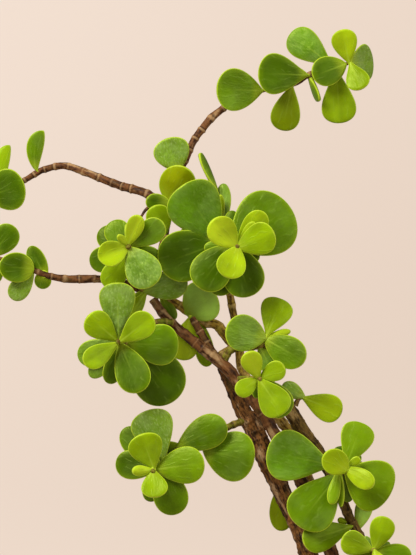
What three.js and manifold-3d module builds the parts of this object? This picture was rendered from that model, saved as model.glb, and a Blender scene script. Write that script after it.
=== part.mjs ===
// Elephant bush, a small succulent shrub with fleshy round leaves, standing in a round clay pot.
// Millimetres, +Z up. The origin is the middle of the pot's flat underside.
import * as THREE from "three";
import { mergeVertices } from "three/addons/utils/BufferGeometryUtils.js";
import Module from "manifold-3d";

// Pot
const POT_HEIGHT = 95;
const POT_FOOT_RADIUS = 37;
const POT_MOUTH_RADIUS = 51;
const RIM_RADIUS = 56;
const RIM_HEIGHT = 20;
const WALL = 4.5;
const FLOOR = 6;
const EDGE = 1.5;
const POT_SIDES = 40;
const DRAIN_RADIUS = 4.5;
const DRAIN_CIRCLE = 20;
const DRAIN_COUNT = 3;
const DRAIN_SIDES = 12;

// Soil
const SOIL_TOP = 84;
const SOIL_CROWN = 3;
const SOIL_RINGS = 4;

// Clearance between touching pieces, and the distances under which points count as one
const GAP = 0.3;
const SAME_POINT = 1e-4;
const NOTHING = 1e-6;

// Stems: the thick ones have more sides
const THICK_STEM = 2;
const STEM_SIDES = 10;
const TWIG_SIDES = 6;

// Leaves: a blade is thick in the middle and thinner, but blunt, at its rim
const LEAF_THICKNESS = 2.0;
const RIM_THICKNESS = 1.0;
const LEAF_POINTS = 10;
const ROOT_DEPTH = 0.9;
const SMALL_LEAF = 9;
const SMALL_LEAF_SHARE = 0.65;

const wasm = await Module();
wasm.setup();

const BARK = new THREE.MeshStandardMaterial({ color: 0x6e4b32, roughness: 0.85, metalness: 0 });
const LEAF = new THREE.MeshStandardMaterial({ color: 0x5a821e, roughness: 0.4, metalness: 0 });
const CLAY = new THREE.MeshStandardMaterial({ color: 0xb0694a, roughness: 0.9, metalness: 0 });
const EARTH = new THREE.MeshStandardMaterial({ color: 0x3a2a1e, roughness: 1, metalness: 0 });

const radians = THREE.MathUtils.degToRad;
const FRONT = new THREE.Vector3(0, -1, 0);

// ---------------------------------------------------------------- solids

function solidOf(geometry) {
  const bare = geometry.clone();
  bare.deleteAttribute("normal");
  bare.deleteAttribute("uv");
  const merged = mergeVertices(bare, SAME_POINT);
  return new wasm.Manifold(new wasm.Mesh({
    numProp: 3,
    vertProperties: new Float32Array(merged.attributes.position.array),
    triVerts: new Uint32Array(merged.index.array),
  }));
}

// The largest of the bodies that a cut leaves
function largestBody(solid) {
  return solid.decompose().reduce((best, body) => (body.volume() > best.volume() ? body : best));
}

function meshOf(name, solid, material) {
  const data = solid.getMesh();
  const geometry = new THREE.BufferGeometry();
  geometry.setAttribute("position", new THREE.BufferAttribute(data.vertProperties, 3));
  geometry.setIndex(new THREE.BufferAttribute(data.triVerts, 1));
  geometry.computeVertexNormals();
  const mesh = new THREE.Mesh(geometry, material);
  mesh.name = name;
  return mesh;
}

// ---------------------------------------------------------------- stems

// A stem's points are [x, z, depth, radius], from its foot to its tip.
// The depth is along +Y, away from the side that the plant is seen from.
function stemSolid(points, extra = 0) {
  const curve = new THREE.CatmullRomCurve3(
    points.map(([x, z, depth]) => new THREE.Vector3(x, depth, z)), false, "catmullrom", 0.5);
  const steps = points.length - 1;
  const sides = points[0][3] > THICK_STEM ? STEM_SIDES : TWIG_SIDES;
  const geometry = new THREE.CylinderGeometry(1, 1, 1, sides, steps);
  const position = geometry.attributes.position;
  for (let i = 0; i < position.count; i += 1) {
    const along = 0.5 - position.getY(i);
    const centre = curve.getPoint(along);
    const tangent = curve.getTangent(along);
    const side = new THREE.Vector3().crossVectors(tangent, FRONT).normalize();
    const face = new THREE.Vector3().crossVectors(tangent, side).normalize();
    const before = Math.min(Math.floor(along * steps + NOTHING), steps - 1);
    const share = along * steps - before;
    const radius = extra + THREE.MathUtils.lerp(points[before][3], points[before + 1][3], share);
    const ends = (along < NOTHING ? -extra : 0) + (along > 1 - NOTHING ? extra : 0);
    centre.addScaledVector(side, position.getX(i) * radius);
    centre.addScaledVector(face, position.getZ(i) * radius);
    centre.addScaledVector(tangent, ends);
    position.setXYZ(i, centre.x, centre.y, centre.z);
  }
  return solidOf(geometry);
}

// ---------------------------------------------------------------- leaves

// Half the width of a blade, from 0 to 1, at a share of its length
function outlineWidth(run, wedge) {
  const widest = wedge / (wedge + 0.5);
  return (run / widest) ** wedge * Math.sqrt((1 - run) / (1 - widest));
}

// A leaf is [x, z, depth, angle, length, width, pitch, roll, wedge, bow]. Its first three place the
// foot of its stalk. The angle is seen from the front, 0 to the right and 90 up; pitch leans the tip to
// the front and roll turns the blade about its own length. The wedge says how slim the blade is towards
// its stalk, from 0.5 for an ellipse up to 1.6. The bow is how far its middle bends out to its left.
function leafSolid([x, z, depth, angle, length, width, pitch, roll, wedge, bow]) {
  const small = length < SMALL_LEAF;
  const thickness = small ? LEAF_THICKNESS * SMALL_LEAF_SHARE : LEAF_THICKNESS;
  const rim = small ? RIM_THICKNESS * SMALL_LEAF_SHARE : RIM_THICKNESS;
  const flat = new THREE.Vector3(Math.cos(radians(angle)), 0, Math.sin(radians(angle)));
  const lean = radians(pitch);
  const along = flat.clone().multiplyScalar(Math.cos(lean)).addScaledVector(FRONT, Math.sin(lean));
  const normal = FRONT.clone().multiplyScalar(Math.cos(lean)).addScaledVector(flat, -Math.sin(lean));
  normal.applyAxisAngle(along, radians(roll));
  const across = new THREE.Vector3().crossVectors(normal, along);
  const geometry = new THREE.SphereGeometry(1, LEAF_POINTS, 3);
  const position = geometry.attributes.position;
  const foot = new THREE.Vector3(x, depth, z);
  for (let i = 0; i < position.count; i += 1) {
    const onRim = Math.hypot(position.getX(i), position.getZ(i)) > SAME_POINT;
    const turn = onRim ? Math.atan2(position.getZ(i), position.getX(i)) : Math.PI / 2;
    const reach = onRim ? (1 - Math.cos(turn)) / 2 : 0.5;
    const tapers = Math.abs(Math.sin(turn)) < NOTHING;
    const halfWidth = tapers ? 0 : Math.sign(turn) * outlineWidth(reach, wedge) * width / 2;
    const lift = Math.sign(position.getY(i)) * (onRim ? rim : thickness) / 2;
    const point = foot.clone();
    point.addScaledVector(along, reach * (length + ROOT_DEPTH) - ROOT_DEPTH);
    point.addScaledVector(across, (onRim ? halfWidth : 0) + bow * Math.abs(Math.sin(turn)));
    point.addScaledVector(normal, lift);
    position.setXYZ(i, point.x, point.y, point.z);
  }
  return solidOf(geometry);
}

// ---------------------------------------------------------------- the plant

// Woody stems, each from its foot in the soil to its top
const STEM_LEFT = [
  [-15, 45, 4, 4.6], [-15, 84, 4, 4.6], [-18, 108, 4, 4.2], [-26.4, 135, 4, 3.6], [-30, 145, 4, 3.6],
  [-37.6, 161, 4, 3.6], [-44.1, 175.1, 4, 4], [-48.2, 185.1, 4, 3.9], [-50.1, 188.8, 3.8, 4],
  [-52.2, 191.5, 3.4, 3.2], [-54.9, 197.1, 3, 3], [-58.8, 206, 2, 2.6], [-60.6, 209.2, 1.5, 2.2],
  [-61.3, 211.2, 1, 1.5],
];
const STEM_MIDDLE = [
  [-6, 45, -12, 3.6], [-6, 84, -12, 3.6], [-9, 108, -8, 3.2], [-17.2, 135, -3, 2.8],
  [-22.8, 149, -2, 2.7], [-29.8, 165, -2, 2.6], [-35.3, 174.9, -2.4, 2.5], [-40.6, 184.2, -3.4, 2.4],
  [-45.4, 192.5, -4.6, 2.3], [-55, 204.4, -6, 2.3], [-58.6, 209.1, -6.4, 2.5],
  [-66.5, 215.8, -6.5, 2.3], [-72.9, 220.8, -6.5, 2.1], [-79.2, 226, -6, 1.9], [-84.4, 231, -5, 1.8],
  [-88.8, 237.4, -4, 1.7],
];
const STEM_MIDDLE_SIDE = [
  [-64, 214.6, -5, 1.6], [-69.4, 223.4, -3.4, 1.6], [-73.2, 229.8, -2, 1.4],
];
const STEM_RIGHT = [
  [11, 45, 0, 2.8], [11, 84, 0, 2.8], [6, 108, -1, 2.4], [-3.2, 135.8, -2, 2], [-7.6, 145, -2, 2],
  [-11.2, 152.2, -2, 1.9], [-16.4, 165, -2, 2.3], [-22.9, 176.2, -2, 2.8], [-28.8, 184.2, -1.5, 3],
  [-33.4, 192.1, -1, 2.8], [-37, 198, 0, 2.1],
];
const STEM_REAR = [
  [0, 45, 15, 2.6], [0, 84, 15, 2.6], [-5, 108, 14, 2.4], [-17, 135, 12, 2.1], [-24, 156, 11, 1.9],
  [-30, 177, 10, 2], [-36.8, 187.4, 10, 2.1], [-44, 196.2, 9.6, 1.9], [-52.8, 208.2, 9, 1.8],
  [-54.4, 219, 8.6, 1.7], [-56.6, 231, 7, 1.45], [-58.4, 241, 4, 1.55], [-61, 249, 0, 1.5],
];

const STEM_REAR_SIDE = [
  [-54.4, 218.3, 8.6, 1.5], [-57, 219.4, 7, 1.8], [-60.3, 223.4, 6, 2], [-63.2, 226.9, 5.5, 2],
  [-68, 228.4, 5, 1.9], [-75.6, 233, 5, 1.9], [-81, 236.6, 4.4, 1.5], [-85.4, 238.8, 4, 1.1],
];
const STEM_REAR_LINK = [
  [-55.2, 217.8, 8.4, 1.3], [-57.9, 217.1, 5, 1.5], [-60.6, 215.8, 2, 1.5], [-62.7, 214.5, 0.6, 1.2],
];
const STEM_LEFT_LEAVES = [
  [-36.8, 162.6, 6, 268, 18.6, 10, -11, 0, 0.75, 0],
];
const STEM_MIDDLE_LEAVES = [
  [-74, 230.1, -1.8, 257, 17.6, 11.7, -5, 0, 1.2, 0],
];
const STEM_RIGHT_LEAVES = [
  [-28.6, 198.1, -1, 148, 10, 6.3, 8, 0, 0.85, 0],
  [-28.8, 197.9, -1, 338, 16.7, 11.3, 4, 0, 1.15, 0],
  [-8.9, 146.7, -3, 197, 22.5, 12.4, 20, 0, 1.3, 0],
  [-6.7, 145.7, -1.4, 74, 13.4, 7, -11, 0, 0.9, 0],
  [-10.5, 147.9, -2, 162, 4.8, 2.6, 8, 0, 1.3, 0],
];
const STEM_REAR_LEAVES = [
  [-75.3, 232, 4.1, 36, 14.4, 17.1, 16, 0, 0.72, 0],
  [-70.3, 229, 6, 280, 19.1, 7.7, -4, 0, 0.95, 0],
  [-85.4, 238, 4, 302, 10.4, 5, 0, 0, 0.8, 0],
];
const STEM_RIGHT_TWIG = [
  [-32, 195, -0.6, 1.2], [-30.6, 197.4, -1, 0.9], [-28.8, 198.4, -1, 0.7],
];

// The long arching branch on the middle stem's tip
const BRANCH_TOP = [
  [-90.4, 239.4, -3.4, 1.6], [-88.4, 246, -1, 1.6], [-86, 254, 1, 1.5], [-83.8, 265, 3, 1.6],
  [-83.2, 275, 4, 1.8], [-80.6, 284.6, 6, 1.5], [-76.2, 292.6, 8, 1.5], [-73, 300, 9, 1.5],
  [-69.6, 305, 10, 1.5], [-65.6, 309.8, 11, 1.6], [-60.8, 313.8, 12, 1.3], [-54, 318.2, 13, 1],
  [-45, 321, 14, 0.7], [-38, 322.4, 14.6, 0.7], [-31.6, 323.8, 15, 0.7], [-27, 327, 15, 1.1],
  [-22, 329.4, 15, 0.8], [-14, 331, 15, 0.8], [-9.6, 332.4, 14, 0.6],
];
const BRANCH_TOP_TWIG = [
  [-83.6, 270.5, 3.4, 0.7], [-88.6, 274.4, 3, 0.6], [-91.6, 273.2, 3, 0.6], [-94.6, 268.6, 2, 0.5],
];
const BRANCH_TOP_LEAVES = [
  [-45.6, 321, 13.5, 178, 18.9, 17.2, 16, 0, 0.9, 0],
  [-26.7, 327.3, 14.3, 178, 20.6, 16.6, 12, 0, 1.25, 0],
  [-33.1, 323, 15.2, 258, 18.7, 11.9, -12, 0, 1.15, 0],
  [-16.7, 331, 15.2, 142, 22.2, 12.8, -14, 0, 1.35, 0],
  [-12, 331.6, 14.2, 201, 14.2, 12, 13, 0, 0.75, 0],
  [-26, 327, 15.4, 293, 11, 5.7, 0, 68, 1.05, 0],
  [-15.3, 331, 15.5, 274, 23.4, 14, -12, 0, 1.5, 0],
  [-10.1, 332.4, 13.7, 103, 14, 10.4, 14, 0, 1.15, 0],
  [-9.4, 332.2, 14.3, 5, 14.7, 14.8, -54, 0, 1, 0],
  [-9.6, 332.3, 13.7, 292, 13.1, 9.6, 24, 0, 1.3, 0],
  [-79.1, 289, 6.4, 107, 13.7, 14.6, 8, 0, 0.9, 0],
  [-82.5, 277.7, 3.4, 59, 14.9, 14.7, 18, 0, 0.5, 0],
  [-82.7, 275.8, 3.1, 176, 9.2, 7, 6, 0, 0.7, 0],
  [-84.1, 263.6, 1.8, 110, 12.4, 10.2, 15, 0, 0.9, 0],
  [-27, 327.2, 15.8, 176, 13.4, 7.6, -46, 0, 0.9, 0],
  [-14.5, 331.1, 15.5, 196, 12, 6.9, -54, 0, 0.9, 0],
  [-79.1, 289, 7.6, 107, 12, 8, -46, 0, 0.9, 0],
];

// The two bare branches that reach out to the left
const BRANCH_UPPER_LEFT = [
  [-83.2, 275, 5, 1.3], [-90, 279, 9, 1.7], [-95.2, 281, 12, 1.7], [-102.4, 283, 15, 1.7],
  [-109.6, 285.8, 18, 1.6], [-118, 289, 21, 1.5], [-124.8, 291, 23, 1.4], [-133.2, 289.4, 24, 1.3],
  [-141.2, 285, 24, 1.1], [-149, 281.2, 24, 1], [-156, 278.4, 23, 0.8],
];
const BRANCH_UPPER_LEFT_LEAVES = [
  [-155.3, 278.9, 22.6, 17, 15.9, 17, 14, 0, 0.8, 0],
  [-134.9, 289.4, 23.6, 84, 16, 6.9, 1, 0, 0.85, 2.6],
  [-149.3, 281.7, 24.2, 82, 18.1, 6.4, -8, 0, 0.8, 2.4],
  [-155.6, 278.8, 23.5, 123, 14.4, 12, -3, 0, 0.9, 0],
  [-156.2, 278.2, 22.6, 173, 13.4, 11, 24, 0, 0.9, 0],
  [-156, 278, 23.3, 229, 14.4, 12, -21, 0, 1.15, 0],
  [-156.1, 278.2, 23.4, 261, 13.4, 10, 9, 0, 0.9, 0],
];
const BRANCH_LOWER_LEFT = [
  [-91, 239.6, -3.4, 1.5], [-96, 242.2, -4, 1.6], [-103, 244.6, -5, 1.5], [-110.8, 245.4, -6, 1.5],
  [-116, 245.4, -6.6, 1.7], [-122.8, 245.4, -7, 1.5], [-130, 246.6, -8, 1.3], [-136, 248.8, -9, 1.1],
  [-145.2, 252.2, -9, 0.9], [-154, 254.6, -9, 0.7],
];
const BRANCH_LOWER_LEFT_LEAVES = [
  [-137.1, 249.5, -9.7, 175, 13.3, 12, 10, 0, 0.5, 0],
  [-132, 246.5, -8, 116, 13.5, 7.2, -9, 0, 0.6, 0],
  [-132.2, 248.1, -8.3, 262, 6.9, 6.8, -14, 0, 0.6, 0],
  [-136.6, 248.4, -8.6, 232, 14.2, 8.4, -10, 0, 1, 0],
  [-153.3, 254.8, -8.8, 51, 14.9, 10.8, -1, 0, 0.9, 0],
  [-152.4, 254.2, -8.6, 268, 11, 8, 0, 0, 0.9, 0],
  [-154, 254.8, -9, 130, 13, 11, 10, 0, 0.9, 0],
  [-154, 254.6, -8.6, 182, 13, 11, -17, 0, 0.9, 0],
  [-154, 254.5, -9.4, 236, 13.2, 11, 14, 0, 0.9, 0],
];

// Leafy sprays. Each faces the front: its old leaves lie behind, its young ones stand in the middle.
const CENTRE_STEM = [
  [-60.4, 247.6, 1.4, 1.6], [-63, 255, -3, 1.4], [-63.6, 260.4, -8, 1.3], [-59.8, 258.8, -13, 1.2],
  [-56, 258.4, -19, 1.1], [-55.2, 258.2, -24.6, 1], [-55.2, 258.2, -25.6, 0.6],
];
const CENTRE_TWIG = [
  [-63.6, 260, -7, 0.9], [-61.6, 266, -3, 0.8], [-62.6, 274, -1, 0.7], [-63.4, 281, 0, 0.6],
];
const CENTRE_LEAVES = [
  [-55.7, 258, -23.3, 131, 15.7, 12, 20, 0, 1, 0],
  [-55.2, 257.7, -23.3, 22, 16.9, 13, 18, 0, 1.05, 0],
  [-55.1, 257.7, -24, 250, 13.3, 11.8, 16, 0, 0.9, 0],
  [-55.6, 258.2, -20.2, 50, 18.2, 9.6, 12, 0, 1.2, 0],
  [-54.9, 257.8, -22, 57, 12.6, 4.5, 14, 0, 1.2, 0],
  [-62.4, 260.9, -10.4, 125, 27.2, 22.2, 13, 0, 1.1, 0],
  [-62.5, 259.7, -9.2, 200, 25.7, 20.5, 11, 0, 0.85, 0],
  [-58, 258.4, -16.9, 232, 21.1, 16.3, 11, 0, 0.85, 0],
  [-58.8, 258.1, -13.8, 258, 19.8, 12.1, 0, 0, 0.85, 0],
  [-56.5, 258.2, -16.7, 288, 20.8, 16.6, -2, 0, 0.85, 0],
  [-57.8, 258.3, -14.6, 337, 12.6, 6.9, -10, 0, 0.8, 0],
  [-56.8, 258.3, -16.2, 35, 28, 26.9, -12, 0, 0.85, 0],
  [-58.2, 258.7, -14, 85, 14.7, 6.7, -19, 0, 0.8, 0],
  [-59.6, 258.6, -13, 186, 8.8, 5, 0, 0, 0.9, 0],
  [-64, 261, -7.4, 168, 14.4, 7, 0, 0, 0.8, 0],
  [-61.1, 267.3, -2.5, 88, 17.6, 6.4, -22, 0, 0.75, 0],
  [-61.4, 269.3, -2.2, 92, 10, 2.9, 10, 0, 0.8, 0],
  [-63.7, 281.3, 0, 114, 15.9, 6.2, 0, 66, 0.9, 0],
  [-62, 252.6, -0.6, 194, 17, 14, -56, 0, 0.9, 0],
  [-61.6, 253.1, -1, 15, 16.7, 13, -57, 0, 0.9, 0],
];
const UPPER_LEFT_STEM = [
  [-92.4, 240.2, -5, 1.5], [-95.4, 246, -8, 1.3], [-98.6, 253.4, -13, 1.2], [-98.4, 257.4, -18, 1.1],
  [-98.4, 258.2, -23.4, 1], [-98.5, 258.2, -24.4, 0.6],
];
const UPPER_LEFT_LEAVES = [
  [-98.7, 258.5, -21.7, 69, 14.3, 7, 24, 0, 1.2, 0],
  [-97.8, 258.3, -20.1, 35, 17, 10.3, 15, 0, 1.15, 0],
  [-98.1, 257.7, -21.4, 302, 18.5, 14.5, 13, 0, 0.95, 0],
  [-98.7, 257.9, -21.9, 200, 13.3, 10.3, 20, 0, 1, 0],
  [-98.6, 255.9, -16.6, 238, 16.5, 10.1, -6, 0, 1, 0],
  [-98.8, 257.5, -16.9, 122, 13.1, 10.4, -15, 0, 0.85, 0],
  [-98.6, 258.3, -18.6, 95, 9.1, 5, -1, 70, 0.9, 0],
  [-98.5, 256.3, -15.1, 144, 15.3, 10.1, -18, 0, 0.85, 0],
  [-98.5, 255.3, -13.9, 192, 16.8, 10.6, -22, 0, 0.85, 0],
  [-98.5, 258.7, -22.6, 135, 6.7, 3.1, 29, 0, 1, 0],
  [-98.2, 256.5, -15.6, 348, 13.3, 7.4, -15, 0, 0.8, 0],
  [-98.1, 257.9, -17.6, 58, 10.2, 5.4, -11, 0, 0.8, 0],
  [-92.1, 240.6, -6, 14, 17.9, 12, 8, 0, 0.9, 0],
  [-93, 240, -5.6, 234, 11, 6.6, -4, 0, 0.8, 0],
  [-91.8, 239.7, -5.6, 235, 12, 6, 17, 0, 1.05, 0],
  [-98, 254, -13.4, 300, 13, 11, -30, 0, 0.9, 0],
  [-98.9, 254.8, -13.4, 175, 14.2, 11, -52, 0, 0.9, 0],
];
const LEFT_STEM = [
  [-81, 228.2, -7, 1.3], [-87.6, 228.2, -10, 1.2], [-92.4, 223.6, -14, 1.2], [-98.6, 220.4, -20, 1.2],
  [-101.6, 220.4, -26, 1.1], [-102.4, 220.6, -32.2, 1], [-102.5, 220.6, -33.2, 0.6],
];
const LEFT_LEAVES = [
  [-102.1, 220.4, -28, 92, 24.1, 14.5, 10, 0, 1.6, 0],
  [-102.5, 220.8, -29, 140, 16.7, 11.2, 22, 0, 1.3, 0],
  [-101.8, 220.5, -31, 38, 17.6, 11, 18, 0, 1.2, 0],
  [-102.4, 220.1, -31, 212, 16.8, 9.1, 20, 0, 1.2, 0],
  [-102, 220.1, -25.2, 201, 17.8, 10.6, -14, 0, 1, 0],
  [-101.3, 220.1, -23.3, 228, 18.7, 7.4, -14, 0, 1, 0],
  [-102, 219.8, -26.4, 256, 16.6, 7.7, -6, 0, 1, 0],
  [-101.7, 219.9, -27.6, 293, 21.6, 13.8, 12, 0, 1, 0],
  [-98.9, 219.8, -21.4, 358, 20.6, 16.5, 4, 0, 1.05, 0],
  [-97.6, 220, -18.8, 308, 29.1, 21.2, -6, 0, 0.9, 0],
  [-101.6, 220.7, -24.3, 112, 10, 4.2, -5, 0, 1, 0],
  [-96.6, 221, -17, 350, 16, 13, -52, 0, 0.9, 0],
  [-97.9, 221.2, -18.2, 147, 14.5, 11, -49, 0, 0.9, 0],
];
const LOWER_LEFT_STEM = [
  [-51, 189, 3, 1.4], [-57, 187, -1, 1.4], [-62.6, 184.2, -4, 1.2], [-68, 181.2, -7, 1.2],
  [-73, 178.8, -10, 1.2], [-78, 178.2, -13, 1.2], [-84, 173, -18, 1], [-88, 169.8, -22, 1],
  [-88.6, 169.2, -26.4, 0.9], [-88.6, 169.2, -27.2, 0.5],
];
const LOWER_LEFT_TWIG = [
  [-68, 181.2, -7, 1], [-68, 178.6, -8.4, 0.9], [-67.4, 176.8, -9.4, 0.8],
];
const LOWER_LEFT_LEAVES = [
  [-84.1, 172.8, -18.9, 109, 21.7, 17, 3, 0, 1.35, 0],
  [-88.2, 169.8, -23.6, 110, 16, 13.9, 16, 0, 1.25, 0],
  [-88.5, 169.6, -25, 182, 9.3, 4.3, 26, 0, 1.2, 0],
  [-88.7, 169.6, -25, 276, 11.9, 10.6, 22, 0, 1.15, 0],
  [-87.3, 169.9, -22, 8, 19.9, 14.9, 12, 0, 0.9, 0],
  [-85.7, 170.9, -19.6, 289, 20.3, 13.9, -5, 0, 0.85, 0],
  [-87.9, 169.9, -21, 170, 16.3, 11.6, -14, 0, 0.85, 0],
  [-86.2, 171, -19.3, 135, 21.3, 11.1, -17, 0, 0.85, 0],
  [-86.1, 171.1, -19.2, 253, 15.9, 8, -22, 0, 0.85, 0],
  [-78.2, 178.9, -13, 208, 7.5, 8, -4, 0, 0.85, 0],
  [-78.6, 178.6, -13.5, 27, 21.3, 13.7, 2, 0, 0.9, 0],
  [-68, 177, -9.4, 349, 20.4, 20.2, 11, 0, 0.8, 0],
  [-84.5, 173.3, -17.8, 142, 16.5, 12, -49, 0, 0.9, 0],
  [-83.5, 172.9, -17.2, 289, 16, 12, -57, 0, 0.9, 0],
];
const UPPER_RIGHT_STEM = [
  [-60.6, 212.4, -6, 1.5], [-57.4, 217.2, -7, 1.5], [-50, 218.2, -8, 1.4], [-45.6, 219.2, -9, 1.2],
  [-43.8, 223, -10, 1.1],
];
const UPPER_RIGHT_STUB = [
  [-46.4, 219, -8.6, 0.9], [-41.6, 217.2, -8, 0.7],
];
const UPPER_RIGHT_LEAVES = [
  [-44.5, 222, -10.4, 167, 16.6, 14.8, 17, 0, 0.78, 0],
  [-43.4, 222.7, -10.4, 69, 16.4, 13, -14, 0, 1.35, 0],
  [-43.7, 221.4, -10, 330, 18.4, 12.9, 14, 0, 0.82, 0],
  [-43.6, 222.4, -9.3, 13, 10.2, 2.9, -10, 0, 1.2, 0],
  [-46.4, 218.4, -8.6, 299, 12.6, 7.2, 0, 0, 1, 0],
  [-44.7, 220.4, -8.6, 163, 13.8, 9.1, -53, 0, 0.9, 0],
  [-43.9, 221.5, -9.1, 340, 11.7, 6.2, -50, 0, 0.9, 0],
];
const MIDDLE_RIGHT_STEM = [
  [-56, 205.6, -6.4, 0.9], [-50.6, 206, -11, 0.9], [-46.8, 205.8, -16, 0.9], [-46.3, 205.8, -20.2, 0.8],
  [-46.3, 205.8, -21, 0.5],
];
const MIDDLE_RIGHT_LEAVES = [
  [-46.7, 205.9, -18.6, 112, 12.5, 8.7, 22, 0, 1.2, 0],
  [-46.1, 205.9, -17.6, 26, 11.5, 8.1, 18, 0, 1.1, 0],
  [-46.9, 205.7, -17.5, 214, 10.9, 7.3, 18, 0, 1.1, 0],
  [-46.5, 205.7, -19.2, 304, 17.4, 12.8, 11, 0, 1.15, 0],
  [-46.3, 205.6, -16, 308, 18.1, 12.6, -6, 0, 1, 0],
  [-47.3, 205.6, -14.2, 269, 7.8, 4.2, -5, 0, 0.8, 0],
  [-47.7, 205.8, -13.6, 315, 12.8, 9, -50, 0, 0.9, 0],
];
const RIGHT_STEM = [
  [-17, 165.6, -1, 1.4], [-14.6, 167, -6, 1.3], [-12.6, 169, -12, 1.2], [-12, 169.8, -17.2, 1],
  [-12, 169.8, -18, 0.6],
];
const RIGHT_TWIG = [
  [-13.4, 168.4, -11, 0.9], [-15.4, 169.6, -11, 0.8], [-17, 170.8, -11, 0.7],
];
const RIGHT_LEAVES = [
  [-16.9, 171, -11, 167, 27.6, 20.5, 9, 0, 1.3, 0],
  [-12.1, 169.7, -17, 144, 11.1, 10.4, 14, 0, 0.6, 0],
  [-12.2, 170, -13.2, 69, 19.9, 13.5, -13, 0, 1.45, 0],
  [-12, 169.3, -12, 331, 20.5, 21.4, -4, 0, 1, 0],
  [-12.4, 170.2, -16, 329, 14.6, 7.7, 24, 0, 1, 0],
  [-13.7, 168.8, -8.4, 231, 28.2, 20, 10, 0, 1.3, 0],
  [-14.9, 169, -11.4, 258, 14.3, 5, 16, 0, 1.1, 0],
  [-13.9, 168.1, -11.3, 271, 13.6, 2.8, 1, 20, 0.9, 0],
  [-11.8, 170.2, -14.8, 36, 6.8, 3.6, 6, 0, 1.3, 0],
  [-13.3, 167.6, -8, 284, 11.7, 5.6, -10, 0, 0.9, 0],
  [-13.6, 167.4, -6, 350, 16, 13, -54, 0, 0.9, 0],
  [-13, 168.8, -10, 74, 15, 12, -52, 0, 0.9, 0],
];
const LOWER_RIGHT_STEM = [
  [-0.8, 128.6, -3, 1.3], [-1, 133, -9, 1.2], [-0.8, 137.3, -14.6, 1], [-0.8, 137.4, -15.4, 0.6],
];
const LOWER_RIGHT_LEAVES = [
  [-1.3, 137.4, -13.4, 159, 13.7, 10, 13, 0, 1.15, 0],
  [-0.6, 137.5, -13.3, 70, 14.2, 10, 6, 0, 1.15, 0],
  [-0.7, 136.8, -12.4, 350, 15.3, 9.7, -8, 0, 1, 0],
  [-0.6, 137.6, -14.5, 289, 12.3, 9, 26, 0, 1.3, 0],
  [-1, 135.7, -11.1, 115, 8, 3.8, -13, 0, 1, 0],
  [-0.8, 135.7, -11.2, 35, 8.2, 3.3, -13, 0, 1, 0],
  [-1, 136, -11.5, 224, 12.7, 10.6, -2, 0, 0.9, 0],
  [-0.8, 132.4, -9, 304, 13, 11, 14, 0, 0.9, 0],
];

// Sprays low on the plant: beside, behind and under the crown
const LOW_RIGHT_STEM = [
  [9, 100, 0, 1.6], [15, 106, -2, 1.5], [22, 113, -3, 1.3], [29, 122, -4, 1.1], [33, 131, -4, 0.8],
];
const LOW_RIGHT_LEAVES = [
  [22, 113, -4, 350, 17, 14, 18, 0, 0.9, 0],
  [21.6, 113.6, -2.4, 112, 15, 12, -16, 0, 1.15, 0],
  [28.6, 121.5, -4.6, 12, 16.2, 13, 15, 0, 0.9, 0],
  [28.6, 122.4, -3.4, 150, 14, 12, -14, 0, 1.15, 0],
  [32.6, 130.1, -4.5, 52, 13.1, 11, 28, 0, 1.3, 0],
  [32.6, 130.4, -3.5, 128, 12.2, 10, -10, 0, 0.9, 0],
  [33, 130.6, -4, 88, 11, 8, 8, 0, 1.3, 0],
];
const LOW_LEFT_STEM = [
  [-17, 100, 2, 1.6], [-24, 102, -4, 1.5], [-33, 105, -9, 1.3], [-42, 110, -13, 1.1],
  [-48, 116, -15, 0.8],
];
const LOW_LEFT_LEAVES = [
  [-32.7, 105.3, -9.7, 262, 14.9, 13, 11, 0, 0.9, 0],
  [-33, 105.7, -8.6, 84, 17.3, 14, -10, 0, 1.15, 0],
  [-41.7, 110, -13.6, 218, 17, 14, 15, 0, 0.9, 0],
  [-42, 110.4, -12.5, 61, 14.4, 12, -14, 0, 0.9, 0],
  [-47.6, 115.6, -15, 172, 15, 13, 4, 0, 1.15, 0],
  [-47.6, 115.9, -14.5, 98, 14.1, 12, -6, 0, 0.9, 0],
  [-48.1, 116.1, -15.5, 130, 11.5, 8, 45, 0, 1.3, 0],
];
const LOW_REAR_STEM = [
  [-3, 96, 15, 1.6], [-3, 99, 22, 1.5], [-5, 103, 30, 1.3], [-8, 109, 37, 1.1], [-11, 115, 42, 0.8],
];
const LOW_REAR_LEAVES = [
  [-5, 103, 30.6, 204, 16, 13, -10, 0, 0.9, 0],
  [-4.4, 103.4, 30.6, 334, 16, 13, -10, 0, 0.9, 0],
  [-8, 109, 37.4, 152, 15, 13, -4, 0, 1.15, 0],
  [-7.6, 109.4, 37.2, 34, 15, 12, -4, 0, 0.9, 0],
  [-11.3, 114.6, 42, 197, 14.2, 12, -16, 0, 0.9, 0],
  [-10.4, 114.4, 42, 352, 14, 12, -16, 0, 1.15, 0],
  [-11, 115, 41.8, 96, 13, 11, -20, 0, 1.3, 0],
];

// ---------------------------------------------------------------- pot and soil

const POT_SLOPE = (POT_MOUTH_RADIUS - POT_FOOT_RADIUS) / POT_HEIGHT;
const outerRadius = (height) => POT_FOOT_RADIUS + POT_SLOPE * height;

function lathe(profile, sides) {
  return new THREE.LatheGeometry(profile.map(([r, h]) => new THREE.Vector2(r, h)), sides)
    .rotateX(Math.PI / 2);
}

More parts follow.
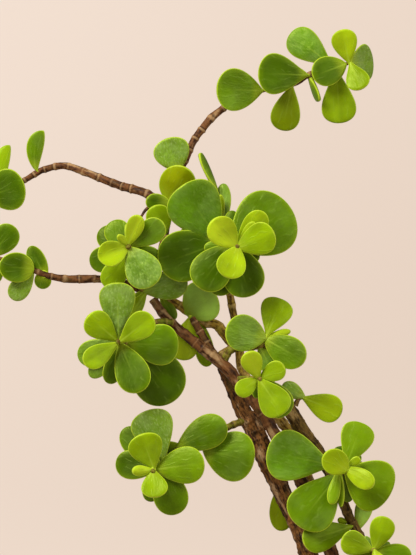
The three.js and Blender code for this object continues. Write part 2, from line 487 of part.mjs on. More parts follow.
function potSolid() {
  const rimFoot = POT_HEIGHT - RIM_HEIGHT;
  const inside = (height) => outerRadius(height) - WALL;
  let pot = solidOf(lathe([
    [0, 0],
    [POT_FOOT_RADIUS - EDGE, 0],
    [outerRadius(EDGE), EDGE],
    [outerRadius(rimFoot), rimFoot],
    [RIM_RADIUS - EDGE / 2, rimFoot],
    [RIM_RADIUS, rimFoot + EDGE],
    [RIM_RADIUS, POT_HEIGHT - EDGE],
    [RIM_RADIUS - EDGE, POT_HEIGHT],
    [inside(POT_HEIGHT) + EDGE, POT_HEIGHT],
    [inside(POT_HEIGHT), POT_HEIGHT - EDGE],
    [inside(FLOOR), FLOOR],
    [0, FLOOR],
  ], POT_SIDES));
  for (let i = 0; i < DRAIN_COUNT; i += 1) {
    const turn = (i / DRAIN_COUNT) * 2 * Math.PI + Math.PI / 2;
    const hole = new THREE.CylinderGeometry(DRAIN_RADIUS, DRAIN_RADIUS, 4 * FLOOR, DRAIN_SIDES);
    hole.rotateX(Math.PI / 2);
    hole.translate(DRAIN_CIRCLE * Math.cos(turn), DRAIN_CIRCLE * Math.sin(turn), 0);
    pot = pot.subtract(solidOf(hole));
  }
  return pot;
}

function soilSolid(stems) {
  const side = (height) => outerRadius(height) - WALL - GAP;
  const foot = FLOOR + GAP;
  const profile = [[0, foot], [side(foot), foot], [side(SOIL_TOP), SOIL_TOP]];
  for (let i = 1; i <= SOIL_RINGS; i += 1) {
    const reach = 1 - i / SOIL_RINGS;
    profile.push([side(SOIL_TOP) * reach, SOIL_TOP + SOIL_CROWN * (1 - reach ** 2)]);
  }
  return stems.reduce((soil, stem) => soil.subtract(stem), solidOf(lathe(profile, POT_SIDES)));
}

// ---------------------------------------------------------------- assembly

const unite = (solids) => solids.reduce((sum, solid) => sum.add(solid));

function leafyStem(stems, leaves) {
  return unite([...stems.map((points) => stemSolid(points)), ...leaves.map(leafSolid)]);
}

// Every branch and spray is cut clear of the woody pieces that carry it
const sideStems = [STEM_MIDDLE_SIDE, STEM_REAR_SIDE, STEM_REAR_LINK];
const woody = [STEM_LEFT, STEM_MIDDLE, STEM_RIGHT, STEM_REAR, ...sideStems];
const carriers = unite(woody.map((points) => stemSolid(points, GAP)));
const topBranch = unite([carriers, stemSolid(BRANCH_TOP, GAP)]);
const leftBranches = unite([topBranch, stemSolid(BRANCH_LOWER_LEFT, GAP)]);

const stems = {
  stem_left: leafyStem([STEM_LEFT], STEM_LEFT_LEAVES),
  stem_middle: leafyStem([STEM_MIDDLE, STEM_MIDDLE_SIDE], STEM_MIDDLE_LEAVES),
  stem_right: leafyStem([STEM_RIGHT, STEM_RIGHT_TWIG], STEM_RIGHT_LEAVES),
  stem_rear: leafyStem([STEM_REAR, STEM_REAR_SIDE, STEM_REAR_LINK], STEM_REAR_LEAVES),
};
const sprays = {
  branch_top: [[BRANCH_TOP, BRANCH_TOP_TWIG], BRANCH_TOP_LEAVES, carriers],
  branch_upper_left: [[BRANCH_UPPER_LEFT], BRANCH_UPPER_LEFT_LEAVES, topBranch],
  branch_lower_left: [[BRANCH_LOWER_LEFT], BRANCH_LOWER_LEFT_LEAVES, topBranch],
  rosette_centre: [[CENTRE_STEM, CENTRE_TWIG], CENTRE_LEAVES, topBranch],
  rosette_upper_left: [[UPPER_LEFT_STEM], UPPER_LEFT_LEAVES, leftBranches],
  rosette_left: [[LEFT_STEM], LEFT_LEAVES, topBranch],
  rosette_lower_left: [[LOWER_LEFT_STEM, LOWER_LEFT_TWIG], LOWER_LEFT_LEAVES, topBranch],
  rosette_upper_right: [[UPPER_RIGHT_STEM, UPPER_RIGHT_STUB], UPPER_RIGHT_LEAVES, topBranch],
  rosette_middle_right: [[MIDDLE_RIGHT_STEM], MIDDLE_RIGHT_LEAVES, topBranch],
  rosette_right: [[RIGHT_STEM, RIGHT_TWIG], RIGHT_LEAVES, topBranch],
  rosette_lower_right: [[LOWER_RIGHT_STEM], LOWER_RIGHT_LEAVES, topBranch],
  spray_low_right: [[LOW_RIGHT_STEM], LOW_RIGHT_LEAVES, topBranch],
  spray_low_left: [[LOW_LEFT_STEM], LOW_LEFT_LEAVES, topBranch],
  spray_low_rear: [[LOW_REAR_STEM], LOW_REAR_LEAVES, topBranch],
};

const plant = new THREE.Group();
plant.add(meshOf("pot", potSolid(), CLAY));
plant.add(meshOf("soil", soilSolid(woody.map((points) => stemSolid(points, GAP))), EARTH));
for (const [name, solid] of Object.entries(stems)) {
  plant.add(meshOf(name, largestBody(solid), BARK));
}
for (const [name, [bare, leaves, carrier]] of Object.entries(sprays)) {
  const solid = leafyStem(bare, leaves).subtract(carrier);
  plant.add(meshOf(name, largestBody(solid), LEAF));
}

export default plant;
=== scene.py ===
import math
import random

import bmesh
import bpy
from mathutils import Matrix, Vector, noise


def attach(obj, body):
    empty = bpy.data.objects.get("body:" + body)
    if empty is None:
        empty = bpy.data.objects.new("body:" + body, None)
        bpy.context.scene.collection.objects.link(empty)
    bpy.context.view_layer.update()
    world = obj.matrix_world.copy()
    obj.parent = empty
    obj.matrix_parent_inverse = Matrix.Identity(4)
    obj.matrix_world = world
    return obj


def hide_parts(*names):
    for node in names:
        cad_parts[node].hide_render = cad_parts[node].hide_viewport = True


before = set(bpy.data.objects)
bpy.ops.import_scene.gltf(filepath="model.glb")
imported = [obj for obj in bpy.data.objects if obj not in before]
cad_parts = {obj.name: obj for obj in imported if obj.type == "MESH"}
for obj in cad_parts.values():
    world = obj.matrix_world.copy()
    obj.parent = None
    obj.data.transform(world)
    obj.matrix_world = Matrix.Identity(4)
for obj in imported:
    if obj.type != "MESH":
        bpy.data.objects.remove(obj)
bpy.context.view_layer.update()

MM = 0.001
NOTHING = 1e-6
FRONT = Vector((0, -1, 0))

# Camera, in metres: level, far off, and looking at the crown from the front
VIEW_CENTRE = Vector((-66.8, 0, 246)) * MM
VIEW_HEIGHT = 222 * MM
VIEW_DISTANCE = 3.0
VIEW_END = 30
SENSOR = 36

# Studio, in metres: a floor that sweeps up into a wall all round
FLOOR_RADIUS = 6.0
SWEEP = 3.0
SWEEP_STEPS = 16
WALL_TOP = 5.0

# Its colours, how bright it looks to the camera, and how brightly it and the air light the plant
STUDIO_LIGHT = (246, 227, 212)
STUDIO_SHADE = (231, 210, 193)
STUDIO_BASE = (0.22, 0.2, 0.18, 1)
STUDIO_LOOK = 0.9
STUDIO_GLOW = 0.28
AIR = (1, 0.97, 0.94, 1)
AIR_GLOW = 0.25

# A softbox: its place, its size, its power and its colour
KEY = ((-1.3, -1.5, 1.9), 1.2, 80, (1.0, 0.98, 0.95))
FILL = ((1.6, -1.2, 1.0), 1.6, 20, (1.0, 0.97, 0.94))

# How many faces go round and along a leaf, and round each turned or grown piece
LEAF_AROUND = 24
LEAF_ALONG = 30
STEM_AROUND = 24
TWIG_AROUND = 14
POT_AROUND = 160
DRAIN_AROUND = 40
SOIL_AROUND = 176
STUDIO_AROUND = 96

# A stem: the step between its rows of faces, the radius from which it is a thick one, and how
# much slower its bark changes along it than round it
STEM_STEP = 0.4
THICK_STEM = 2
GRAIN_ALONG = 0.35

# A ring at an old leaf joint: half its width, how far it stands out, the radius of the stems
# that show it best, and how far it wavers
RING_WIDTH = 0.6
RING_RELIEF = 0.34
RINGED_RADIUS = 1.6
RING_WAVER = 0.3

# A kind of stem: its slot, how far apart its joints are, and how rough its bark is
TRUNK = ("bark", 5.6, 0.42)
BRANCH = ("bark", 5.6, 0.16)
TWIG = ("leaf", 3.5, 0.08)

# A leaf blade: thick in the middle, blunt at its rim, rippled along it, and sunk into its stem
LEAF_THICKNESS = 2.3
RIM_THICKNESS = 1.1
RIM_RIPPLE = 0.18
PETIOLE = 0.55
ROOT_DEPTH = 0.9
SMALL_LEAF = 9
SMALL_LEAF_SHARE = 0.65

# A blade's shares: how square its section is, its blunt end in rims, its crease in widths, and
# where it is deepest and how far its tip curls in lengths
SECTION_POWER = 0.7
BLUNT_END = 0.6
CREASE = 0.09
DEEPEST = 0.55
CURL = (-0.02, 0.05)

# How many leaves differ before their looks repeat
LEAF_LOOKS = 17

# A blade's colours: red, green and blue from 0 to 255, and its waxy bloom and painted sheen
DARK = (64, 94, 0, 0.1)
MID = (84, 117, 0, 0.2)
OLIVE = (104, 122, 0, 0.1)
LEAFY = (103, 136, 0, 0.1)
BRIGHT = (130, 160, 2, 0.1)
FRESH = (152, 178, 14, 0.0)
YOUNG = (180, 204, 32, 0.0)
OCHRE = (132, 144, 2, 0.0)
SHEEN = (86, 128, 6, 0.4)
BLUE = (84, 120, 20, 0.8)
DULL = (98, 132, 26, 0.5)
SILVER = (112, 148, 36, 1.0)
# The next green is painted light: paler than these leaves are, to make up for the shade the crown
# casts on them
PALE_PAINTED_LIGHT = (170, 214, 84, 0.4)

# Pot, with its rim, its rounded edges and its drain holes
POT_HEIGHT = 95
POT_FOOT_RADIUS = 37
POT_MOUTH_RADIUS = 51
RIM_RADIUS = 56
RIM_HEIGHT = 20
WALL = 4.5
FLOOR = 6
EDGE = 1.5
DRAIN_RADIUS = 4.5
DRAIN_CIRCLE = 20
DRAIN_COUNT = 3

# Soil: a low crown of crumbs, a little clear of the pot, with grit half sunk in it
SOIL_TOP = 84
SOIL_CROWN = 3
SOIL_RINGS = 56
CRUMB_HEIGHT = 1.3
CRUMB_SINK = 0.6
GAP = 0.3
GRIT_COUNT = 420
GRIT_RADIUS = (0.6, 1.7)
GRIT_FROM_RIM = 2.5
GRIT_SINK = 0.4

# -------------------------------- the plant's layout

# A stem's points are (x, z, depth, radius) from its foot to its tip. Depth is along +Y.
STEM_LEFT = [
    (-15, 45, 4, 4.6), (-15, 84, 4, 4.6), (-18, 108, 4, 4.2), (-26.4, 135, 4, 3.6),
    (-30, 145, 4, 3.6), (-37.6, 161, 4, 3.6), (-44.1, 175.1, 4, 4), (-48.2, 185.1, 4, 3.9),
    (-50.1, 188.8, 3.8, 4), (-52.2, 191.5, 3.4, 3.2), (-54.9, 197.1, 3, 3), (-58.8, 206, 2, 2.6),
    (-60.6, 209.2, 1.5, 2.2), (-61.3, 211.2, 1, 1.5),
]
STEM_MIDDLE = [
    (-6, 45, -12, 3.6), (-6, 84, -12, 3.6), (-9, 108, -8, 3.2), (-17.2, 135, -3, 2.8),
    (-22.8, 149, -2, 2.7), (-29.8, 165, -2, 2.6), (-35.3, 174.9, -2.4, 2.5),
    (-40.6, 184.2, -3.4, 2.4), (-45.4, 192.5, -4.6, 2.3), (-55, 204.4, -6, 2.3),
    (-58.6, 209.1, -6.4, 2.5), (-66.5, 215.8, -6.5, 2.3), (-72.9, 220.8, -6.5, 2.1),
    (-79.2, 226, -6, 1.9), (-84.4, 231, -5, 1.8), (-88.8, 237.4, -4, 1.7),
]
STEM_MIDDLE_SIDE = [
    (-64, 214.6, -5, 1.6), (-69.4, 223.4, -3.4, 1.6), (-73.2, 229.8, -2, 1.4),
]
STEM_RIGHT = [
    (11, 45, 0, 2.8), (11, 84, 0, 2.8), (6, 108, -1, 2.4), (-3.2, 135.8, -2, 2),
    (-7.6, 145, -2, 2), (-11.2, 152.2, -2, 1.9), (-16.4, 165, -2, 2.3), (-22.9, 176.2, -2, 2.8),
    (-28.8, 184.2, -1.5, 3), (-33.4, 192.1, -1, 2.8), (-37, 198, 0, 2.1),
]
STEM_REAR = [
    (0, 45, 15, 2.6), (0, 84, 15, 2.6), (-5, 108, 14, 2.4), (-17, 135, 12, 2.1),
    (-24, 156, 11, 1.9), (-30, 177, 10, 2), (-36.8, 187.4, 10, 2.1), (-44, 196.2, 9.6, 1.9),
    (-52.8, 208.2, 9, 1.8), (-54.4, 219, 8.6, 1.7), (-56.6, 231, 7, 1.45),
    (-58.4, 241, 4, 1.55), (-61, 249, 0, 1.5),
]
STEM_REAR_SIDE = [
    (-54.4, 218.3, 8.6, 1.5), (-57, 219.4, 7, 1.8), (-60.3, 223.4, 6, 2), (-63.2, 226.9, 5.5, 2),
    (-68, 228.4, 5, 1.9), (-75.6, 233, 5, 1.9), (-81, 236.6, 4.4, 1.5), (-85.4, 238.8, 4, 1.1),
]
STEM_REAR_LINK = [
    (-55.2, 217.8, 8.4, 1.3), (-57.9, 217.1, 5, 1.5), (-60.6, 215.8, 2, 1.5),
    (-62.7, 214.5, 0.6, 1.2),
]
STEM_RIGHT_TWIG = [(-32, 195, -0.6, 1.2), (-30.6, 197.4, -1, 0.9), (-28.8, 198.4, -1, 0.7)]
BRANCH_TOP = [
    (-90.4, 239.4, -3.4, 1.6), (-88.4, 246, -1, 1.6), (-86, 254, 1, 1.5), (-83.8, 265, 3, 1.6),
    (-83.2, 275, 4, 1.8), (-80.6, 284.6, 6, 1.5), (-76.2, 292.6, 8, 1.5), (-73, 300, 9, 1.5),
    (-69.6, 305, 10, 1.5), (-65.6, 309.8, 11, 1.6), (-60.8, 313.8, 12, 1.3), (-54, 318.2, 13, 1),
    (-45, 321, 14, 0.7), (-38, 322.4, 14.6, 0.7), (-31.6, 323.8, 15, 0.7), (-27, 327, 15, 1.1),
    (-22, 329.4, 15, 0.8), (-14, 331, 15, 0.8), (-9.6, 332.4, 14, 0.6),
]
BRANCH_TOP_TWIG = [
    (-83.6, 270.5, 3.4, 0.7), (-88.6, 274.4, 3, 0.6), (-91.6, 273.2, 3, 0.6),
    (-94.6, 268.6, 2, 0.5),
]
BRANCH_UPPER_LEFT = [
    (-83.2, 275, 5, 1.3), (-90, 279, 9, 1.7), (-95.2, 281, 12, 1.7), (-102.4, 283, 15, 1.7),
    (-109.6, 285.8, 18, 1.6), (-118, 289, 21, 1.5), (-124.8, 291, 23, 1.4),
    (-133.2, 289.4, 24, 1.3), (-141.2, 285, 24, 1.1), (-149, 281.2, 24, 1),
    (-156, 278.4, 23, 0.8),
]
BRANCH_LOWER_LEFT = [
    (-91, 239.6, -3.4, 1.5), (-96, 242.2, -4, 1.6), (-103, 244.6, -5, 1.5),
    (-110.8, 245.4, -6, 1.5), (-116, 245.4, -6.6, 1.7), (-122.8, 245.4, -7, 1.5),
    (-130, 246.6, -8, 1.3), (-136, 248.8, -9, 1.1), (-145.2, 252.2, -9, 0.9),
    (-154, 254.6, -9, 0.7),
]
CENTRE_STEM = [
    (-60.4, 247.6, 1.4, 1.6), (-63, 255, -3, 1.4), (-63.6, 260.4, -8, 1.3),
    (-59.8, 258.8, -13, 1.2), (-56, 258.4, -19, 1.1), (-55.2, 258.2, -24.6, 1),
    (-55.2, 258.2, -25.6, 0.6),
]
CENTRE_TWIG = [
    (-63.6, 260, -7, 0.9), (-61.6, 266, -3, 0.8), (-62.6, 274, -1, 0.7), (-63.4, 281, 0, 0.6),
]
UPPER_LEFT_STEM = [
    (-92.4, 240.2, -5, 1.5), (-95.4, 246, -8, 1.3), (-98.6, 253.4, -13, 1.2),
    (-98.4, 257.4, -18, 1.1), (-98.4, 258.2, -23.4, 1), (-98.5, 258.2, -24.4, 0.6),
]
LEFT_STEM = [
    (-81, 228.2, -7, 1.3), (-87.6, 228.2, -10, 1.2), (-92.4, 223.6, -14, 1.2),
    (-98.6, 220.4, -20, 1.2), (-101.6, 220.4, -26, 1.1), (-102.4, 220.6, -32.2, 1),
    (-102.5, 220.6, -33.2, 0.6),
]
LOWER_LEFT_STEM = [
    (-51, 189, 3, 1.4), (-57, 187, -1, 1.4), (-62.6, 184.2, -4, 1.2), (-68, 181.2, -7, 1.2),
    (-73, 178.8, -10, 1.2), (-78, 178.2, -13, 1.2), (-84, 173, -18, 1), (-88, 169.8, -22, 1),
    (-88.6, 169.2, -26.4, 0.9), (-88.6, 169.2, -27.2, 0.5),
]
LOWER_LEFT_TWIG = [(-68, 181.2, -7, 1), (-68, 178.6, -8.4, 0.9), (-67.4, 176.8, -9.4, 0.8)]
UPPER_RIGHT_STEM = [
    (-60.6, 212.4, -6, 1.5), (-57.4, 217.2, -7, 1.5), (-50, 218.2, -8, 1.4),
    (-45.6, 219.2, -9, 1.2), (-43.8, 223, -10, 1.1),
]
UPPER_RIGHT_STUB = [(-46.4, 219, -8.6, 0.9), (-41.6, 217.2, -8, 0.7)]
MIDDLE_RIGHT_STEM = [
    (-56, 205.6, -6.4, 0.9), (-50.6, 206, -11, 0.9), (-46.8, 205.8, -16, 0.9),
    (-46.3, 205.8, -20.2, 0.8), (-46.3, 205.8, -21, 0.5),
]
RIGHT_STEM = [
    (-17, 165.6, -1, 1.4), (-14.6, 167, -6, 1.3), (-12.6, 169, -12, 1.2), (-12, 169.8, -17.2, 1),
    (-12, 169.8, -18, 0.6),
]
RIGHT_TWIG = [
    (-13.4, 168.4, -11, 0.9), (-15.4, 169.6, -11, 0.8), (-17, 170.8, -11, 0.7),
]
LOWER_RIGHT_STEM = [
    (-0.8, 128.6, -3, 1.3), (-1, 133, -9, 1.2), (-0.8, 137.3, -14.6, 1),
    (-0.8, 137.4, -15.4, 0.6),
]
LOW_RIGHT_STEM = [
    (9, 100, 0, 1.6), (15, 106, -2, 1.5), (22, 113, -3, 1.3), (29, 122, -4, 1.1),
    (33, 131, -4, 0.8),
]
LOW_LEFT_STEM = [
    (-17, 100, 2, 1.6), (-24, 102, -4, 1.5), (-33, 105, -9, 1.3), (-42, 110, -13, 1.1),
    (-48, 116, -15, 0.8),
]
LOW_REAR_STEM = [
    (-3, 96, 15, 1.6), (-3, 99, 22, 1.5), (-5, 103, 30, 1.3), (-8, 109, 37, 1.1),
    (-11, 115, 42, 0.8),
]

# A leaf is (x, z, depth, angle, length, width, pitch, roll, colour, fold, cup, wedge, bow). Its
# first three place the foot of its stalk. The angle is seen from the front, 0 to the right and
# 90 up; pitch leans the tip to the front and roll turns the blade about its own length. The fold
# along the midrib is in degrees, and the cup is how far the rim stands forward, in millimetres.
# The wedge says how slim the blade is towards its stalk, from 0.5 for an ellipse up to 1.6, and
# the bow is how far its middle bends out to its left, in millimetres.
CENTRE_LEAVES = [
    (-55.7, 258, -23.3, 131, 15.7, 12, 20, 0, YOUNG, 10, 1, 1, 0),
    (-55.2, 257.7, -23.3, 22, 16.9, 13, 18, 0, BRIGHT, -6, 1, 1.05, 0),
    (-55.1, 257.7, -24, 250, 13.3, 11.8, 16, 0, FRESH, 8, 1, 0.9, 0),
    (-55.6, 258.2, -20.2, 50, 18.2, 9.6, 12, 0, FRESH, 12, 0, 1.2, 0),
    (-54.9, 257.8, -22, 57, 12.6, 4.5, 14, 0, FRESH, 6, 0, 1.2, 0),
    (-62.4, 260.9, -10.4, 125, 27.2, 22.2, 13, 0, SHEEN, -9, 0, 1.1, 0),
    (-62.5, 259.7, -9.2, 200, 25.7, 20.5, 11, 0, DARK, 6, 0.6, 0.85, 0),
    (-58, 258.4, -16.9, 232, 21.1, 16.3, 11, 0, DARK, -6, 0, 0.85, 0),
    (-58.8, 258.1, -13.8, 258, 19.8, 12.1, 0, 0, DARK, 5, 0, 0.85, 0),
    (-56.5, 258.2, -16.7, 288, 20.8, 16.6, -2, 0, DARK, 6, 0, 0.85, 0),
    (-57.8, 258.3, -14.6, 337, 12.6, 6.9, -10, 0, DARK, 0, 0, 0.8, 0),
    (-56.8, 258.3, -16.2, 35, 28, 26.9, -12, 0, MID, -5, 0.6, 0.85, 0),
    (-58.2, 258.7, -14, 85, 14.7, 6.7, -19, 0, DARK, 6, 0, 0.8, 0),
    (-59.6, 258.6, -13, 186, 8.8, 5, 0, 0, MID, 0, 0, 0.9, 0),
    (-64, 261, -7.4, 168, 14.4, 7, 0, 0, DARK, 0, 0, 0.8, 0),
    (-61.1, 267.3, -2.5, 88, 17.6, 6.4, -22, 0, DULL, 6, 0, 0.75, 0),
    (-61.4, 269.3, -2.2, 92, 10, 2.9, 10, 0, FRESH, 0, 0, 0.8, 0),
    (-63.7, 281.3, 0, 114, 15.9, 6.2, 0, 66, MID, 0, 0, 0.9, 0),
    (-62, 252.6, -0.6, 194, 17, 14, -56, 0, DARK, 6, 0, 0.9, 0),
    (-61.6, 253.1, -1, 15, 16.7, 13, -57, 0, DARK, 6, 0, 0.9, 0),
]
UPPER_LEFT_LEAVES = [
    (-98.7, 258.5, -21.7, 69, 14.3, 7, 24, 0, YOUNG, 14, 0, 1.2, 0),
    (-97.8, 258.3, -20.1, 35, 17, 10.3, 15, 0, MID, 10, 0, 1.15, 0),
    (-98.1, 257.7, -21.4, 302, 18.5, 14.5, 13, 0, BLUE, 6, 0.8, 0.95, 0),
    (-98.7, 257.9, -21.9, 200, 13.3, 10.3, 20, 0, FRESH, 28, 0, 1, 0),
    (-98.6, 255.9, -16.6, 238, 16.5, 10.1, -6, 0, BRIGHT, 8, 0, 1, 0),
    (-98.8, 257.5, -16.9, 122, 13.1, 10.4, -15, 0, MID, 6, 0, 0.85, 0),
    (-98.6, 258.3, -18.6, 95, 9.1, 5, -1, 70, DULL, 6, 0, 0.9, 0),
    (-98.5, 256.3, -15.1, 144, 15.3, 10.1, -18, 0, DARK, 6, 0, 0.85, 0),
    (-98.5, 255.3, -13.9, 192, 16.8, 10.6, -22, 0, DARK, 6, 0, 0.85, 0),
    (-98.5, 258.7, -22.6, 135, 6.7, 3.1, 29, 0, YOUNG, 0, 0, 1, 0),
    (-98.2, 256.5, -15.6, 348, 13.3, 7.4, -15, 0, DARK, 6, 0, 0.8, 0),
    (-98.1, 257.9, -17.6, 58, 10.2, 5.4, -11, 0, DARK, 0, 0, 0.8, 0),
    (-92.1, 240.6, -6, 14, 17.9, 12, 8, 0, SILVER, 8, 0, 0.9, 0),
    (-93, 240, -5.6, 234, 11, 6.6, -4, 0, DARK, 6, 0, 0.8, 0),
    (-91.8, 239.7, -5.6, 235, 12, 6, 17, 0, OLIVE, 6, 0, 1.05, 0),
    (-98, 254, -13.4, 300, 13, 11, -30, 0, DARK, 6, 0, 0.9, 0),
    (-98.9, 254.8, -13.4, 175, 14.2, 11, -52, 0, DARK, 6, 0, 0.9, 0),
]
LEFT_LEAVES = [
    (-102.1, 220.4, -28, 92, 24.1, 14.5, 10, 0, SILVER, -8, 0, 1.6, 0),
    (-102.5, 220.8, -29, 140, 16.7, 11.2, 22, 0, BRIGHT, 8, 0, 1.3, 0),
    (-101.8, 220.5, -31, 38, 17.6, 11, 18, 0, BRIGHT, 8, 0.6, 1.2, 0),
    (-102.4, 220.1, -31, 212, 16.8, 9.1, 20, 0, BRIGHT, 10, 0, 1.2, 0),
    (-102, 220.1, -25.2, 201, 17.8, 10.6, -14, 0, DULL, 6, 0, 1, 0),
    (-101.3, 220.1, -23.3, 228, 18.7, 7.4, -14, 0, DULL, 6, 0, 1, 0),
    (-102, 219.8, -26.4, 256, 16.6, 7.7, -6, 0, DARK, 14, 0, 1, 0),
    (-101.7, 219.9, -27.6, 293, 21.6, 13.8, 12, 0, DARK, 8, 0.6, 1, 0),
    (-98.9, 219.8, -21.4, 358, 20.6, 16.5, 4, 0, MID, 6, 0, 1.05, 0),
    (-97.6, 220, -18.8, 308, 29.1, 21.2, -6, 0, DARK, -4, 0.5, 0.9, 0),
    (-101.6, 220.7, -24.3, 112, 10, 4.2, -5, 0, DULL, 0, 0, 1, 0),
    (-96.6, 221, -17, 350, 16, 13, -52, 0, DARK, 6, 0, 0.9, 0),
    (-97.9, 221.2, -18.2, 147, 14.5, 11, -49, 0, DARK, 6, 0, 0.9, 0),
]
LOWER_LEFT_LEAVES = [
    (-84.1, 172.8, -18.9, 109, 21.7, 17, 3, 0, SILVER, -5, 0, 1.35, 0),
    (-88.2, 169.8, -23.6, 110, 16, 13.9, 16, 0, BRIGHT, 6, 0.6, 1.25, 0),
    (-88.5, 169.6, -25, 182, 9.3, 4.3, 26, 0, YOUNG, 4, 0, 1.2, 0),
    (-88.7, 169.6, -25, 276, 11.9, 10.6, 22, 0, BRIGHT, 8, 0.6, 1.15, 0),
    (-87.3, 169.9, -22, 8, 19.9, 14.9, 12, 0, LEAFY, -5, 0, 0.9, 0),
    (-85.7, 170.9, -19.6, 289, 20.3, 13.9, -5, 0, MID, 6, 0, 0.85, 0),
    (-87.9, 169.9, -21, 170, 16.3, 11.6, -14, 0, DARK, 6, 0, 0.85, 0),
    (-86.2, 171, -19.3, 135, 21.3, 11.1, -17, 0, DARK, 6, 0, 0.85, 0),
    (-86.1, 171.1, -19.2, 253, 15.9, 8, -22, 0, DARK, 4, 0, 0.85, 0),
    (-78.2, 178.9, -13, 208, 7.5, 8, -4, 0, DARK, 4, 0, 0.85, 0),
    (-78.6, 178.6, -13.5, 27, 21.3, 13.7, 2, 0, MID, -8, 0, 0.9, 0),
    (-68, 177, -9.4, 349, 20.4, 20.2, 11, 0, MID, -6, 0, 0.8, 0),
    (-84.5, 173.3, -17.8, 142, 16.5, 12, -49, 0, DARK, 6, 0, 0.9, 0),
    (-83.5, 172.9, -17.2, 289, 16, 12, -57, 0, DARK, 6, 0, 0.9, 0),
]
UPPER_RIGHT_LEAVES = [
    (-44.5, 222, -10.4, 167, 16.6, 14.8, 17, 0, DULL, 8, 0.8, 0.78, 0),
    (-43.4, 222.7, -10.4, 69, 16.4, 13, -14, 0, BRIGHT, 6, 0, 1.35, 0),
    (-43.7, 221.4, -10, 330, 18.4, 12.9, 14, 0, MID, 8, 0, 0.82, 0),
    (-43.6, 222.4, -9.3, 13, 10.2, 2.9, -10, 0, YOUNG, 10, 0, 1.2, 0),
    (-46.4, 218.4, -8.6, 299, 12.6, 7.2, 0, 0, DULL, 4, 0, 1, 0),
    (-44.7, 220.4, -8.6, 163, 13.8, 9.1, -53, 0, DARK, 6, 0, 0.9, 0),
    (-43.9, 221.5, -9.1, 340, 11.7, 6.2, -50, 0, DARK, 6, 0, 0.9, 0),
]
MIDDLE_RIGHT_LEAVES = [
    (-46.7, 205.9, -18.6, 112, 12.5, 8.7, 22, 0, YOUNG, 12, 0, 1.2, 0),
    (-46.1, 205.9, -17.6, 26, 11.5, 8.1, 18, 0, BRIGHT, 10, 0, 1.1, 0),
    (-46.9, 205.7, -17.5, 214, 10.9, 7.3, 18, 0, BRIGHT, 10, 0, 1.1, 0),
    (-46.5, 205.7, -19.2, 304, 17.4, 12.8, 11, 0, BRIGHT, -10, 0, 1.15, 0),
    (-46.3, 205.6, -16, 308, 18.1, 12.6, -6, 0, MID, 4, 0, 1, 0),
    (-47.3, 205.6, -14.2, 269, 7.8, 4.2, -5, 0, DARK, 0, 0, 0.8, 0),
    (-47.7, 205.8, -13.6, 315, 12.8, 9, -50, 0, DARK, 6, 0, 0.9, 0),
]
RIGHT_LEAVES = [
    (-16.9, 171, -11, 167, 27.6, 20.5, 9, 0, SHEEN, 6, 0.8, 1.3, 0),
    (-12.1, 169.7, -17, 144, 11.1, 10.4, 14, 0, FRESH, 4, 0.8, 0.6, 0),
    (-12.2, 170, -13.2, 69, 19.9, 13.5, -13, 0, LEAFY, 8, 0, 1.45, 0),
    (-12, 169.3, -12, 331, 20.5, 21.4, -4, 0, LEAFY, -4, 0.4, 1, 0),
    (-12.4, 170.2, -16, 329, 14.6, 7.7, 24, 0, FRESH, 8, 0, 1, 0),
    (-13.7, 168.8, -8.4, 231, 28.2, 20, 10, 0, MID, 5, 0.6, 1.3, 0),
    (-14.9, 169, -11.4, 258, 14.3, 5, 16, 0, LEAFY, 8, 0, 1.1, 0),
    (-13.9, 168.1, -11.3, 271, 13.6, 2.8, 1, 20, LEAFY, 0, 0, 0.9, 0),
    (-11.8, 170.2, -14.8, 36, 6.8, 3.6, 6, 0, FRESH, 6, 0, 1.3, 0),
    (-13.3, 167.6, -8, 284, 11.7, 5.6, -10, 0, DULL, 6, 0, 0.9, 0),
    (-13.6, 167.4, -6, 350, 16, 13, -54, 0, DARK, 6, 0, 0.9, 0),
    (-13, 168.8, -10, 74, 15, 12, -52, 0, DARK, 6, 0, 0.9, 0),
]
LOWER_RIGHT_LEAVES = [
    (-1.3, 137.4, -13.4, 159, 13.7, 10, 13, 0, BRIGHT, 8, 0, 1.15, 0),
    (-0.6, 137.5, -13.3, 70, 14.2, 10, 6, 0, BRIGHT, 8, 0, 1.15, 0),
    (-0.7, 136.8, -12.4, 350, 15.3, 9.7, -8, 0, MID, 6, 0, 1, 0),
    (-0.6, 137.6, -14.5, 289, 12.3, 9, 26, 0, YOUNG, 8, 0, 1.3, 0),
    (-1, 135.7, -11.1, 115, 8, 3.8, -13, 0, DULL, 0, 0, 1, 0),
    (-0.8, 135.7, -11.2, 35, 8.2, 3.3, -13, 0, DULL, 0, 0, 1, 0),
    (-1, 136, -11.5, 224, 12.7, 10.6, -2, 0, MID, 6, 0, 0.9, 0),
    (-0.8, 132.4, -9, 304, 13, 11, 14, 0, MID, 6, 0, 0.9, 0),
]
